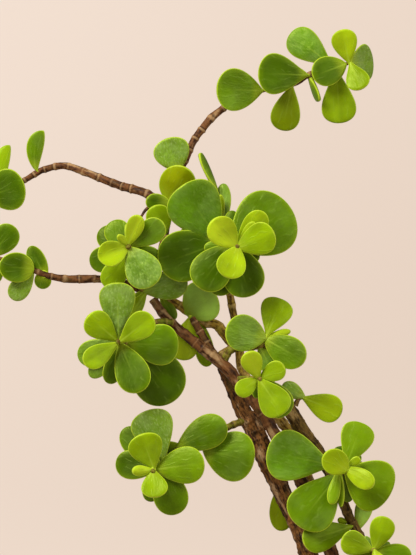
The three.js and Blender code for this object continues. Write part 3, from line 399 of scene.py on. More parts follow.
BRANCH_TOP_LEAVES = [
    (-45.6, 321, 13.5, 178, 18.9, 17.2, 16, 0, MID, 6, 0.6, 0.9, 0),
    (-26.7, 327.3, 14.3, 178, 20.6, 16.6, 12, 0, DARK, 12, 0, 1.25, 0),
    (-33.1, 323, 15.2, 258, 18.7, 11.9, -12, 0, OLIVE, 6, 0, 1.15, 0),
    (-16.7, 331, 15.2, 142, 22.2, 12.8, -14, 0, SHEEN, 3, 0, 1.35, 0),
    (-12, 331.6, 14.2, 201, 14.2, 12, 13, 0, DARK, 6, 0, 0.75, 0),
    (-26, 327, 15.4, 293, 11, 5.7, 0, 68, MID, 8, 0, 1.05, 0),
    (-15.3, 331, 15.5, 274, 23.4, 14, -12, 0, BRIGHT, 6, 0, 1.5, 0),
    (-10.1, 332.4, 13.7, 103, 14, 10.4, 14, 0, FRESH, 5, 0, 1.15, 0),
    (-9.4, 332.2, 14.3, 5, 14.7, 14.8, -54, 0, SILVER, 5, 0, 1, 0),
    (-9.6, 332.3, 13.7, 292, 13.1, 9.6, 24, 0, BRIGHT, 9, 0, 1.3, 0),
    (-79.1, 289, 6.4, 107, 13.7, 14.6, 8, 0, SILVER, 4, 1, 0.9, 0),
    (-82.5, 277.7, 3.4, 59, 14.9, 14.7, 18, 0, OCHRE, -5, 0, 0.5, 0),
    (-82.7, 275.8, 3.1, 176, 9.2, 7, 6, 0, DARK, 6, 0, 0.7, 0),
    (-84.1, 263.6, 1.8, 110, 12.4, 10.2, 15, 0, BRIGHT, 8, 0, 0.9, 0),
    (-27, 327.2, 15.8, 176, 13.4, 7.6, -46, 0, MID, 6, 0, 0.9, 0),
    (-14.5, 331.1, 15.5, 196, 12, 6.9, -54, 0, MID, 6, 0, 0.9, 0),
    (-79.1, 289, 7.6, 107, 12, 8, -46, 0, MID, 6, 0, 0.9, 0),
]
BRANCH_UPPER_LEFT_LEAVES = [
    (-155.3, 278.9, 22.6, 17, 15.9, 17, 14, 0, DARK, 6, 0.6, 0.8, 0),
    (-134.9, 289.4, 23.6, 84, 16, 6.9, 1, 0, MID, 10, 0, 0.85, 2.6),
    (-149.3, 281.7, 24.2, 82, 18.1, 6.4, -8, 0, BRIGHT, 10, 0, 0.8, 2.4),
    (-155.6, 278.8, 23.5, 123, 14.4, 12, -3, 0, MID, 6, 0, 0.9, 0),
    (-156.2, 278.2, 22.6, 173, 13.4, 11, 24, 0, MID, 6, 0, 0.9, 0),
    (-156, 278, 23.3, 229, 14.4, 12, -21, 0, BRIGHT, 6, 0, 1.15, 0),
    (-156.1, 278.2, 23.4, 261, 13.4, 10, 9, 0, MID, 6, 0, 0.9, 0),
]
BRANCH_LOWER_LEFT_LEAVES = [
    (-137.1, 249.5, -9.7, 175, 13.3, 12, 10, 0, DARK, 6, 0.4, 0.5, 0),
    (-132, 246.5, -8, 116, 13.5, 7.2, -9, 0, DARK, 6, 0, 0.6, 0),
    (-132.2, 248.1, -8.3, 262, 6.9, 6.8, -14, 0, DARK, 4, 0, 0.6, 0),
    (-136.6, 248.4, -8.6, 232, 14.2, 8.4, -10, 0, SILVER, 6, 0, 1, 0),
    (-153.3, 254.8, -8.8, 51, 14.9, 10.8, -1, 0, DARK, 6, 0, 0.9, 0),
    (-152.4, 254.2, -8.6, 268, 11, 8, 0, 0, MID, 4, 0, 0.9, 0),
    (-154, 254.8, -9, 130, 13, 11, 10, 0, MID, 6, 0, 0.9, 0),
    (-154, 254.6, -8.6, 182, 13, 11, -17, 0, MID, 6, 0, 0.9, 0),
    (-154, 254.5, -9.4, 236, 13.2, 11, 14, 0, MID, 6, 0, 0.9, 0),
]
STEM_LEFT_LEAVES = [
    (-36.8, 162.6, 6, 268, 18.6, 10, -11, 0, FRESH, 5, 0, 0.75, 0),
]
STEM_REAR_LEAVES = [
    (-75.3, 232, 4.1, 36, 14.4, 17.1, 16, 0, PALE_PAINTED_LIGHT, 8, 0, 0.72, 0),
    (-70.3, 229, 6, 280, 19.1, 7.7, -4, 0, BRIGHT, 6, 0, 0.95, 0),
    (-85.4, 238, 4, 302, 10.4, 5, 0, 0, MID, 4, 0, 0.8, 0),
]
STEM_MIDDLE_LEAVES = [
    (-74, 230.1, -1.8, 257, 17.6, 11.7, -5, 0, YOUNG, 4, 0, 1.2, 0),
]
STEM_RIGHT_LEAVES = [
    (-28.6, 198.1, -1, 148, 10, 6.3, 8, 0, SILVER, 6, 0, 0.85, 0),
    (-28.8, 197.9, -1, 338, 16.7, 11.3, 4, 0, FRESH, 10, 0, 1.15, 0),
    (-8.9, 146.7, -3, 197, 22.5, 12.4, 20, 0, LEAFY, 6, 0, 1.3, 0),
    (-6.7, 145.7, -1.4, 74, 13.4, 7, -11, 0, PALE_PAINTED_LIGHT, 4, 0, 0.9, 0),
    (-10.5, 147.9, -2, 162, 4.8, 2.6, 8, 0, FRESH, 0, 0, 1.3, 0),
]
LOW_RIGHT_LEAVES = [
    (22, 113, -4, 350, 17, 14, 18, 0, MID, 6, 0, 0.9, 0),
    (21.6, 113.6, -2.4, 112, 15, 12, -16, 0, BRIGHT, 6, 0, 1.15, 0),
    (28.6, 121.5, -4.6, 12, 16.2, 13, 15, 0, MID, 6, 0, 0.9, 0),
    (28.6, 122.4, -3.4, 150, 14, 12, -14, 0, BRIGHT, 6, 0, 1.15, 0),
    (32.6, 130.1, -4.5, 52, 13.1, 11, 28, 0, FRESH, 8, 0, 1.3, 0),
    (32.6, 130.4, -3.5, 128, 12.2, 10, -10, 0, MID, 6, 0, 0.9, 0),
    (33, 130.6, -4, 88, 11, 8, 8, 0, YOUNG, 8, 0, 1.3, 0),
]
LOW_LEFT_LEAVES = [
    (-32.7, 105.3, -9.7, 262, 14.9, 13, 11, 0, MID, 6, 0, 0.9, 0),
    (-33, 105.7, -8.6, 84, 17.3, 14, -10, 0, BRIGHT, 6, 0, 1.15, 0),
    (-41.7, 110, -13.6, 218, 17, 14, 15, 0, MID, 6, 0, 0.9, 0),
    (-42, 110.4, -12.5, 61, 14.4, 12, -14, 0, MID, 6, 0, 0.9, 0),
    (-47.6, 115.6, -15, 172, 15, 13, 4, 0, BRIGHT, 8, 0, 1.15, 0),
    (-47.6, 115.9, -14.5, 98, 14.1, 12, -6, 0, MID, 6, 0, 0.9, 0),
    (-48.1, 116.1, -15.5, 130, 11.5, 8, 45, 0, YOUNG, 6, 0, 1.3, 0),
]
LOW_REAR_LEAVES = [
    (-5, 103, 30.6, 204, 16, 13, -10, 0, MID, 6, 0, 0.9, 0),
    (-4.4, 103.4, 30.6, 334, 16, 13, -10, 0, MID, 6, 0, 0.9, 0),
    (-8, 109, 37.4, 152, 15, 13, -4, 0, BRIGHT, 6, 0, 1.15, 0),
    (-7.6, 109.4, 37.2, 34, 15, 12, -4, 0, MID, 6, 0, 0.9, 0),
    (-11.3, 114.6, 42, 197, 14.2, 12, -16, 0, MID, 6, 0, 0.9, 0),
    (-10.4, 114.4, 42, 352, 14, 12, -16, 0, BRIGHT, 6, 0, 1.15, 0),
    (-11, 115, 41.8, 96, 13, 11, -20, 0, YOUNG, 6, 0, 1.3, 0),
]

# -------------------------------- stems


def curve_point(points, at):
    """The place on a smooth curve through the points, at a count of points from the foot."""
    i = min(int(at), len(points) - 2)
    before = points[i - 1] if i > 0 else 2 * points[0] - points[1]
    after = points[i + 2] if i + 2 < len(points) else 2 * points[-1] - points[-2]
    start, end = points[i], points[i + 1]
    leave, arrive = (end - before) / 2, (after - start) / 2
    w = at - i
    return (
        start
        + leave * w
        + (3 * (end - start) - 2 * leave - arrive) * w ** 2
        + (2 * (start - end) + leave + arrive) * w ** 3
    )


def walk(stem):
    """Even steps along a stem: its centre, its direction, its radius and the way gone so far."""
    points = [Vector((x, depth, z)) for x, z, depth, _ in stem]
    fine = 24
    places = [curve_point(points, i / fine) for i in range((len(points) - 1) * fine + 1)]
    gone = [0.0]
    for a, b in zip(places, places[1:]):
        gone.append(gone[-1] + (b - a).length)
    count = max(4, round(gone[-1] / STEM_STEP))
    steps, i = [], 0
    for k in range(count + 1):
        target = gone[-1] * k / count
        while i < len(gone) - 2 and gone[i + 1] < target:
            i += 1
        share = (target - gone[i]) / (gone[i + 1] - gone[i])
        centre = places[i].lerp(places[i + 1], share)
        at = (i + share) / fine
        j = min(int(at), len(stem) - 2)
        radius = stem[j][3] + (stem[j + 1][3] - stem[j][3]) * (at - j)
        steps.append((centre, (places[i + 1] - places[i]).normalized(), radius, target))
    return steps


def nearest_joint(gone, every, seed):
    """How far a place is past the nearest old leaf joint, and how big that joint is, 0 to 1."""
    # Unevenly spaced, and each with a size of its own
    place = gone / every + 0.8 * noise.noise(Vector((gone / every * 0.7, seed * 3.7, 0)))
    away = (place + 0.5) % 1 - 0.5
    size = 0.65 + 0.5 * noise.noise(Vector((round(place) * 1.9, seed * 5.3, 4)))
    return away * every, size


def add_stem(mesh, stem, every, rough, seed):
    """One stem as a closed tube, with rings at its old leaf joints and uneven bark."""
    steps = walk(stem)
    around = STEM_AROUND if stem[0][3] > THICK_STEM else TWIG_AROUND
    rows = len(steps)
    ball = bmesh.ops.create_uvsphere(mesh, u_segments=around, v_segments=rows + 1, radius=1)
    grain = mesh.verts.layers.float_vector["grain"]
    joint = mesh.verts.layers.float_vector["joint"]
    side = steps[0][1].cross(FRONT).normalized()
    frames = []
    for centre, way, radius, gone in steps:
        side = (side - way * side.dot(way)).normalized()
        frames.append((centre, side, way.cross(side), radius, gone))
    for v in ball["verts"]:
        ring = round(math.acos(max(-1, min(1, v.co.z))) / math.pi * (rows + 1)) - 1
        turn = math.atan2(v.co.y, v.co.x)
        pole = ring < 0 or ring >= rows
        centre, side, face, radius, gone = frames[max(0, min(rows - 1, ring))]
        out = side * math.cos(turn) + face * math.sin(turn)
        past, size = nearest_joint(gone, every, seed)
        past += RING_WAVER * noise.noise(Vector((math.cos(turn), math.sin(turn), gone * 0.2)))
        node = size * math.exp(-((past / RING_WIDTH) ** 2))
        relief = RING_RELIEF * node * min(1, radius / RINGED_RADIUS)
        spot = Vector((math.cos(turn), math.sin(turn), 0)) * radius
        spot.z = gone * GRAIN_ALONG
        spot += Vector((seed * 7.3, seed * 3.1, 0))
        bumps = noise.fractal(spot * 0.9, 1.0, 2.0, 3) * rough
        v.co = (centre + out * (0 if pole else radius + relief + bumps)) * MM
        v[grain] = spot
        plain = min(1, RINGED_RADIUS / radius) ** 2
        v[joint] = (size * plain, node * plain, past)


# -------------------------------- leaves


def outline_width(run, wedge):
    """Half the width of a blade, from 0 to 1, at a share of its length."""
    widest = wedge / (wedge + 0.5)
    return (run / widest) ** wedge * math.sqrt((1 - run) / (1 - widest))


def leaf_axes(angle, pitch, roll):
    """A leaf's own directions: along it, across it, and out of its upper face."""
    flat = Vector((math.cos(math.radians(angle)), 0, math.sin(math.radians(angle))))
    lean = math.radians(pitch)
    along = flat * math.cos(lean) + FRONT * math.sin(lean)
    normal = FRONT * math.cos(lean) - flat * math.sin(lean)
    normal.rotate(Matrix.Rotation(math.radians(roll), 3, along))
    return along, normal.cross(along), normal


def squared(value):
    """A sine or cosine pushed out, so that the section it draws is squarer than an ellipse."""
    return math.copysign(abs(value) ** SECTION_POWER, value) if abs(value) > NOTHING else 0


def add_leaf(mesh, leaf, seed):
    """One fleshy blade with a folded midrib, a cupped face and a blunt round rim."""
    x, z, depth, angle, length, width, pitch, roll, colour, fold, cup, wedge, bow = leaf
    along, across, normal = leaf_axes(angle, pitch, roll)
    draw = random.Random(seed)
    wave = draw.uniform(-1, 1)
    curl = draw.uniform(*CURL) * length
    share = SMALL_LEAF_SHARE if length < SMALL_LEAF else 1
    thick, rim = LEAF_THICKNESS * share, RIM_THICKNESS * share
    crease = CREASE * width
    slope = math.tan(math.radians(fold))
    middle = length * DEEPEST
    ball = bmesh.ops.create_uvsphere(
        mesh, u_segments=LEAF_AROUND, v_segments=LEAF_ALONG, radius=1)
    blade = mesh.verts.layers.float_vector["blade"]
    tint = mesh.verts.layers.float_vector["tint"]
    place = mesh.verts.layers.float_vector["place"]
    foot = Vector((x, depth, z))
    for v in ball["verts"]:
        turn = math.acos(max(-1, min(1, v.co.z)))
        section = math.atan2(v.co.y, v.co.x)
        out, up = squared(math.cos(section)), squared(math.sin(section))
        run = (1 - math.cos(turn)) / 2
        gone = run * (length + ROOT_DEPTH) - ROOT_DEPTH
        to_tip = length - gone
        stalk = PETIOLE * share * min(1, (1 - run) * 3)
        half = 0
        if 0 < run < 1:
            half = math.hypot(outline_width(run, wedge) * width / 2, stalk)
        sideways = half * out
        end = math.sqrt(max(0, 1 - (1 - min(1, to_tip / (rim * BLUNT_END))) ** 2))
        flesh = rim + (thick - rim) * (1 - out ** 2) * math.sin(turn) ** 0.5
        lift = up * flesh / 2 * end if math.sin(turn) > NOTHING else 0
        bend = (math.hypot(sideways, crease) - crease) * slope
        dish = cup * ((2 * sideways / width) ** 2 + ((gone - middle) / middle) ** 2 * 0.5)
        tip = curl * run ** 2
        ripple = RIM_RIPPLE * math.sin(3 * turn + 5 * wave) * wave * abs(out) ** 3 * share
        point = foot + along * gone
        point += across * (sideways + bow * math.sin(turn))
        point += normal * (lift + bend + dish + tip + ripple)
        v.co = point * MM
        steep = min(1, abs(math.sin(turn)) * length / max(width, 1))
        rim_way = min(half * (1 - abs(out)) * steep, to_tip)
        v[blade] = (gone, sideways, rim_way)
        v[tint] = rgb(*colour[:3])[:3]
        v[place] = (run, colour[3], seed % LEAF_LOOKS / LEAF_LOOKS)


# -------------------------------- objects


def new_mesh(layers):
    """An empty bmesh that carries the named values at its vertices."""
    mesh = bmesh.new()
    for name in layers:
        mesh.verts.layers.float_vector.new(name)
    return mesh


def new_object(mesh, name, material):
    """Turns a bmesh into a smooth object in the scene."""
    for face in mesh.faces:
        face.smooth = True
    data = bpy.data.meshes.new(name)
    mesh.to_mesh(data)
    mesh.free()
    data.materials.append(material)
    made = bpy.data.objects.new(name, data)
    bpy.context.scene.collection.objects.link(made)
    return made


def finish_piece(mesh, name, material, slot, *nodes):
    """Turns a bmesh into a piece that stands for its nodes."""
    bmesh.ops.recalc_face_normals(mesh, faces=mesh.faces)
    piece = new_object(mesh, name, material)
    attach(piece, "root")
    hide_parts(*nodes)
    return piece


def make_leaves(node, leaves, material, seed):
    """All the leaves of one node."""
    mesh = new_mesh(("blade", "tint", "place"))
    for i, leaf in enumerate(leaves):
        add_leaf(mesh, leaf, seed * 100 + i)
    finish_piece(mesh, node + "_leaves", material, "leaf", node)


def make_stems(node, stems, material, kind, seed):
    """The stem of one node, with its side stems and twigs."""
    slot, every, rough = kind
    mesh = new_mesh(("grain", "joint"))
    for i, stem in enumerate(stems):
        add_stem(mesh, stem, every, rough, seed + i * 0.21)
    finish_piece(mesh, node + "_wood", material, slot, node)


# -------------------------------- materials


def rgb(red, green, blue):
    """A screen colour, 0 to 255, as the linear colour that shaders take."""
    parts = [c / 255 for c in (red, green, blue)]
    return tuple(c / 12.92 if c <= 0.04045 else ((c + 0.055) / 1.055) ** 2.4 for c in parts) + (1,)


class Nodes:
    """Short calls that add a node to a tree and give its output."""

    def __init__(self, tree):
        self.tree = tree

    def add(self, kind, inputs=None, output=0, **settings):
        node = self.tree.nodes.new(kind)
        for key, value in settings.items():
            setattr(node, key, value)
        for key, value in (inputs or {}).items():
            if isinstance(value, bpy.types.NodeSocket):
                self.tree.links.new(value, node.inputs[key])
            else:
                node.inputs[key].default_value = value
        return node.outputs[output] if node.outputs else None

    def maths(self, operation, a, b=0.0):
        return self.add("ShaderNodeMath", {0: a, 1: b}, operation=operation)

    def sum(self, a, b):
        return self.maths("ADD", a, b)

    def less(self, a, b):
        return self.maths("SUBTRACT", a, b)

    def times(self, a, b):
        return self.maths("MULTIPLY", a, b)

    def band(self, value, low, high, to_low=0.0, to_high=1.0):
        return self.add(
            "ShaderNodeMapRange", {0: value, 1: low, 2: high, 3: to_low, 4: to_high},
            interpolation_type="SMOOTHSTEP")

    def mix(self, share, a, b):
        return self.add("ShaderNodeMix", {0: share, 6: a, 7: b}, output=2, data_type="RGBA")

    def shade(self, colour, strength):
        return self.add(
            "ShaderNodeVectorMath", {0: colour, 1: (strength,) * 3}, operation="MULTIPLY")

    def noise(self, vector, scale, detail=3, roughness=0.55):
        return self.add(
            "ShaderNodeTexNoise",
            {"Vector": vector, "Scale": scale, "Detail": detail, "Roughness": roughness})

    def attribute(self, name):
        return self.add("ShaderNodeAttribute", output="Vector", attribute_name=name)

    def object_place(self):
        return self.add("ShaderNodeTexCoord", output="Object")

    def split(self, vector):
        return self.add("ShaderNodeSeparateXYZ", {0: vector}).node.outputs

    def join(self, x, y, z):
        return self.add("ShaderNodeCombineXYZ", {0: x, 1: y, 2: z})

    def bump(self, height, distance, strength):
        return self.add(
            "ShaderNodeBump",
            {"Height": height, "Distance": distance, "Strength": strength})

    def surface(self, **inputs):
        shader = self.add(
            "ShaderNodeBsdfPrincipled",
            {key.replace("_", " "): value for key, value in inputs.items()})
        self.add("ShaderNodeOutputMaterial", {"Surface": shader})


def new_material(name):
    """An empty material, with the calls that add nodes to it."""
    material = bpy.data.materials.new(name)
    material.use_nodes = True
    material.node_tree.nodes.clear()
    return material, Nodes(material.node_tree)


def leaf_material():
    """Satin green flesh with a thin pale margin, faint veins, wrinkled bloom and painted sheen."""
    material, n = new_material("fleshy leaf")
    gone, sideways, rim_way = n.split(n.attribute("blade"))
    run, bloom, draw = n.split(n.attribute("place"))
    own = n.attribute("tint")
    spot = n.object_place()
    # Darker in clouds, and painted light on one half of the blade, as if its fold caught the light
    shade = n.band(n.noise(spot, 85, 2), 0.36, 0.62, 0.6, 0)
    green = n.mix(shade, own, n.shade(own, 0.52))
    half = n.band(n.times(sideways, n.less(draw, 0.5)), -0.3, 0.3, 0.5, 0)
    green = n.mix(n.times(half, n.band(run, 0.1, 0.4)), green, n.shade(green, 1.4))
    # Yellower towards the stalk and the rim
    green = n.mix(n.band(gone, 0, 5.5, 0.6, 0), green, rgb(160, 178, 30))
    green = n.mix(n.band(rim_way, 0, 3.0, 0.26, 0), green, rgb(132, 162, 6))
    # Veins that fan out from the stalk, and a pale midrib, partly painted highlight on its crease
    fan = n.maths("ARCTAN2", sideways, n.sum(gone, 3.0))
    bent = n.sum(n.times(fan, 13.0), n.times(n.noise(spot, 230, 1), 2.6))
    vein = n.band(n.maths("ABSOLUTE", n.maths("SINE", bent)), 0.0, 0.4, 1, 0)
    vein = n.times(vein, n.band(n.noise(spot, 300, 1), 0.42, 0.62))
    green = n.mix(n.times(vein, 0.09), green, rgb(164, 194, 84))
    line = n.band(n.maths("ABSOLUTE", sideways), 0.1, 0.5, 1, 0)
    rib = n.times(line, n.times(n.band(run, 0.05, 0.9, 1, 0), n.band(draw, 0.2, 0.9, 0.15, 0.5)))
    green = n.mix(rib, green, rgb(164, 192, 60))
    # Waxy bloom and painted sheen, in soft patches and in fine streaks along the blade
    bloom_and_sheen_patches = n.band(n.noise(spot, 130, 2), 0.4, 0.66, 0.04, 0.3)
    green = n.mix(n.times(bloom, bloom_and_sheen_patches), green, rgb(158, 184, 110))
    grain = n.join(n.times(gone, 0.6), n.sum(sideways, n.times(fan, 2.0)), n.times(draw, 9.0))
    bloom_and_sheen_streaks = n.band(n.noise(grain, 1.3, 3, 0.6), 0.5, 0.68, 0, 0.3)
    green = n.mix(n.times(n.times(bloom, bloom), bloom_and_sheen_streaks), green, rgb(176, 204, 122))
    # The pale line of the rim itself
    green = n.mix(n.band(rim_way, 0.14, 0.48, 0.8, 0), green, rgb(184, 206, 50))
    wrinkle = n.times(n.noise(grain, 0.55, 1.5, 0.5), n.sum(0.25, n.times(bloom, 1.2)))
    satin = n.band(n.noise(spot, 300, 1), 0.3, 0.7, 0.3, 0.42)
    n.surface(
        Base_Color=green,
        Roughness=n.sum(satin, n.times(bloom, 0.04)),
        Specular_IOR_Level=n.sum(0.32, n.times(bloom, 0.2)),
        Specular_Tint=rgb(226, 246, 120),
        Normal=n.bump(n.sum(wrinkle, n.times(vein, 0.15)), 0.0005, 0.8),
        Subsurface_Weight=0.06,
        Subsurface_Radius=(0.4, 1.0, 0.1),
        Subsurface_Scale=0.001,
    )
    return material


def bark_group():
    """Bark in plates with pale rings at its old leaf joints, that turns green where it is young."""
    tree = bpy.data.node_groups.new("bark", "ShaderNodeTree")
    sockets = [("INPUT", "Vector", name) for name in ("Grain", "Joint")]
    sockets += [("INPUT", "Color", name) for name in ("Dark", "Brown", "Light", "Green")]
    sockets += [("INPUT", "Float", "Crack"), ("OUTPUT", "Color", "Color")]
    sockets += [("OUTPUT", "Float", name) for name in ("Roughness", "Height")]
    for way, kind, name in sockets:
        tree.interface.new_socket(name, in_out=way, socket_type="NodeSocket" + kind)
    n = Nodes(tree)
    given = n.add("NodeGroupInput").node.outputs
    grain, dark, light, crack = given["Grain"], given["Dark"], given["Light"], given["Crack"]
    size, node, past = n.split(given["Joint"])
    around, up, along = n.split(grain)
    # Brown fibres, with pale and green patches
    broad = n.noise(grain, 0.3, 3)
    fibre = n.noise(grain, 0.8, 3, 0.55)
    colour = n.mix(n.band(fibre, 0.34, 0.6), dark, given["Brown"])
    colour = n.mix(n.band(broad, 0.54, 0.7, 0, 0.8), colour, light)
    colour = n.mix(n.band(broad, 0.32, 0.45, 0.65, 0), colour, given["Green"])
    # Fissures between plates, pits, and a groove past each joint
    plate = n.noise(n.join(around, up, n.times(along, 0.4)), 0.9, 2, 0.6)
    fissure = n.band(n.maths("ABSOLUTE", n.less(plate, 0.5)), 0.0, 0.025, crack, 0)
    pit = n.band(n.noise(grain, 2.2, 2, 0.5), 0.32, 0.42, crack, 0)
    groove = n.times(n.band(past, 0.35, 0.8), n.band(past, 0.9, 1.6, 0.8, 0))
    deep = n.maths("MAXIMUM", n.maths("MAXIMUM", fissure, pit), n.times(groove, size))
    # The fissures, pits and grooves are darker partly in the bark's own colour and partly as
    # painted shade
    colour = n.mix(n.times(deep, 0.8), colour, n.shade(dark, 0.5))
    n.add("NodeGroupOutput", {
        "Color": n.mix(n.band(node, 0.15, 0.7, 0, 0.55), colour, light),
        "Roughness": n.band(fibre, 0.3, 0.7, 0.5, 0.75),
        "Height": n.less(n.times(fibre, 0.7), n.times(deep, 0.6)),
    })
    return tree


def bark_material(name, group, dark, brown, light, green, crack):
    """One stem's bark: its own four colours, and how deep its cracks are, from 0 to 1."""
    material, n = new_material(name)
    bark = n.add("ShaderNodeGroup", {
        "Grain": n.attribute("grain"), "Joint": n.attribute("joint"), "Dark": rgb(*dark),
        "Brown": rgb(*brown), "Light": rgb(*light), "Green": rgb(*green), "Crack": crack,
    }, node_tree=group).node.outputs
    n.surface(
        Base_Color=bark["Color"],
        Roughness=bark["Roughness"],
        Specular_IOR_Level=0.16,
        Normal=n.bump(bark["Height"], 0.0005, 0.6 + 0.3 * crack),
    )
    return material


def clay_material():
    """Fired red clay, dusty and faintly streaked, with a pale lime bloom in places."""
    material, n = new_material("fired clay")
    spot = n.object_place()
    cloud = n.noise(spot, 26, 4)
    speck = n.noise(spot, 700, 3)
    up = n.split(spot)[2]
    turned = n.noise(n.join(0.0, 0.0, up), 900, 2)
    clay = n.mix(n.band(cloud, 0.35, 0.65), rgb(158, 88, 58), rgb(190, 118, 84))
    clay = n.mix(n.band(speck, 0.6, 0.75, 0, 0.5), clay, rgb(214, 170, 140))
    clay = n.mix(n.band(n.noise(spot, 60, 5, 0.7), 0.55, 0.75, 0, 0.45), clay, rgb(218, 190, 168))
    # Darker towards the bottom
    darker_towards_bottom = n.band(up, 0.002, 0.03, 0.4, 0)
    n.surface(
        Base_Color=n.mix(darker_towards_bottom, clay, rgb(120, 66, 44)),
        Roughness=n.band(cloud, 0.3, 0.7, 0.75, 0.92),
        Normal=n.bump(n.sum(n.times(speck, 0.6), n.times(turned, 0.5)), 0.0004, 0.5),
    )
    return material


def soil_material():
    """Dark open potting mix."""
    material, n = new_material("potting soil")
    spot = n.object_place()
    crumb = n.noise(spot, 420, 5, 0.7)
    colour = n.mix(n.band(crumb, 0.38, 0.6), rgb(30, 20, 14), rgb(84, 62, 46))
    colour = n.mix(n.band(n.noise(spot, 800, 2), 0.66, 0.7, 0, 0.7), colour, rgb(150, 130, 108))
    n.surface(Base_Color=colour, Roughness=0.95, Normal=n.bump(crumb, 0.0012, 0.9))
    return material


def grit_material():
    """Pale and brown mineral grit on the soil."""
    material, n = new_material("mineral grit")
    spot = n.object_place()
    kind = n.noise(spot, 140, 0)
    colour = n.mix(n.band(kind, 0.42, 0.58), rgb(112, 84, 64), rgb(196, 184, 166))
    colour = n.mix(n.band(n.noise(spot, 1500, 3), 0.4, 0.7, 0, 0.5), colour, rgb(88, 72, 60))
    n.surface(
        Base_Color=colour, Roughness=0.9, Normal=n.bump(n.noise(spot, 2200, 4), 0.0002, 0.7))
    return material


def studio_material():
    """The warm pale studio, a little darker low and to the right, that glows less than it looks."""
    material, n = new_material("studio")
    spot = n.split(n.object_place())
    # Painted shade: the studio glows a little darker low and to the right
    right = n.band(spot[0], -0.5, 0.35, 0, 0.55)
    low = n.band(spot[2], 0.0, 0.75, 0.45, 0)
    seen = n.add("ShaderNodeLightPath", output="Is Camera Ray")
    n.surface(
        Base_Color=STUDIO_BASE,
        Roughness=1.0,
        Specular_IOR_Level=0.0,
        Emission_Color=n.mix(n.sum(right, low), rgb(*STUDIO_LIGHT), rgb(*STUDIO_SHADE)),
        Emission_Strength=n.sum(STUDIO_GLOW, n.times(seen, STUDIO_LOOK - STUDIO_GLOW)),
    )
    return material


# -------------------------------- pot and soil


def outer_radius(height):
    """The radius of the pot's tapered side at a height."""
    return POT_FOOT_RADIUS + (POT_MOUTH_RADIUS - POT_FOOT_RADIUS) / POT_HEIGHT * height


def lathe(mesh, profile, steps):
    """Spins a profile of (radius, height) round the upright axis."""
    verts = [mesh.verts.new((r * MM, 0, h * MM)) for r, h in profile]
    edges = [mesh.edges.new(pair) for pair in zip(verts, verts[1:])]
    bmesh.ops.spin(
        mesh, geom=verts + edges, cent=(0, 0, 0), axis=(0, 0, 1), angle=2 * math.pi,
        steps=steps, use_merge=True)
    bmesh.ops.remove_doubles(mesh, verts=mesh.verts, dist=0.01 * MM)


def rounded(profile, radius, steps=4):
    """The profile with each corner between its ends turned into an arc."""
    out = [profile[0]]
    for before, corner, after in zip(profile, profile[1:], profile[2:]):
        corner, before, after = Vector(corner), Vector(before), Vector(after)
        back, on = before - corner, after - corner
        reach = min(radius, back.length * 0.45, on.length * 0.45)
        start = corner + back.normalized() * reach
        end = corner + on.normalized() * reach
        for i in range(steps + 1):
            w = i / steps
            out.append(start * (1 - w) ** 2 + corner * 2 * w * (1 - w) + end * w ** 2)
    return out + [profile[-1]]


def make_pot(material):
    """The tapered pot with its thick rim, and its drain holes cut through the floor."""
    foot = POT_HEIGHT - RIM_HEIGHT
    inside = outer_radius(POT_HEIGHT) - WALL
    mesh = bmesh.new()
    profile = rounded([
        (0, 0), (POT_FOOT_RADIUS, 0), (outer_radius(foot), foot), (RIM_RADIUS, foot),
        (RIM_RADIUS, POT_HEIGHT), (inside, POT_HEIGHT), (outer_radius(FLOOR) - WALL, FLOOR),
        (0, FLOOR),
    ], EDGE)
    lathe(mesh, profile, POT_AROUND)
    pot = finish_piece(mesh, "clay_pot", material, "clay", "pot")
    drill = bmesh.new()
    for i in range(DRAIN_COUNT):
        turn = i / DRAIN_COUNT * 2 * math.pi + math.pi / 2
        spot = Vector((math.cos(turn), math.sin(turn), 0)) * DRAIN_CIRCLE * MM
        bmesh.ops.create_cone(
            drill, cap_ends=True, segments=DRAIN_AROUND, radius1=DRAIN_RADIUS * MM,
            radius2=DRAIN_RADIUS * MM, depth=4 * FLOOR * MM, matrix=Matrix.Translation(spot))
    drill_mesh = bpy.data.meshes.new("drill")
    drill.to_mesh(drill_mesh)
    drill.free()
    cutter = bpy.data.objects.new("drill", drill_mesh)
    bpy.context.scene.collection.objects.link(cutter)
    cut = pot.modifiers.new("drain holes", "BOOLEAN")
    cut.operation = "DIFFERENCE"
    cut.solver = "EXACT"
    cut.object = cutter
    drilled = bpy.data.meshes.new_from_object(
        pot.evaluated_get(bpy.context.evaluated_depsgraph_get()))
    pot.modifiers.clear()
    pot.data = drilled
    bpy.data.objects.remove(cutter)


def soil_height(out, top_radius):
    """The height of the soil's crown at a way out from its middle."""
    return SOIL_TOP + SOIL_CROWN * (1 - (out / top_radius) ** 2)


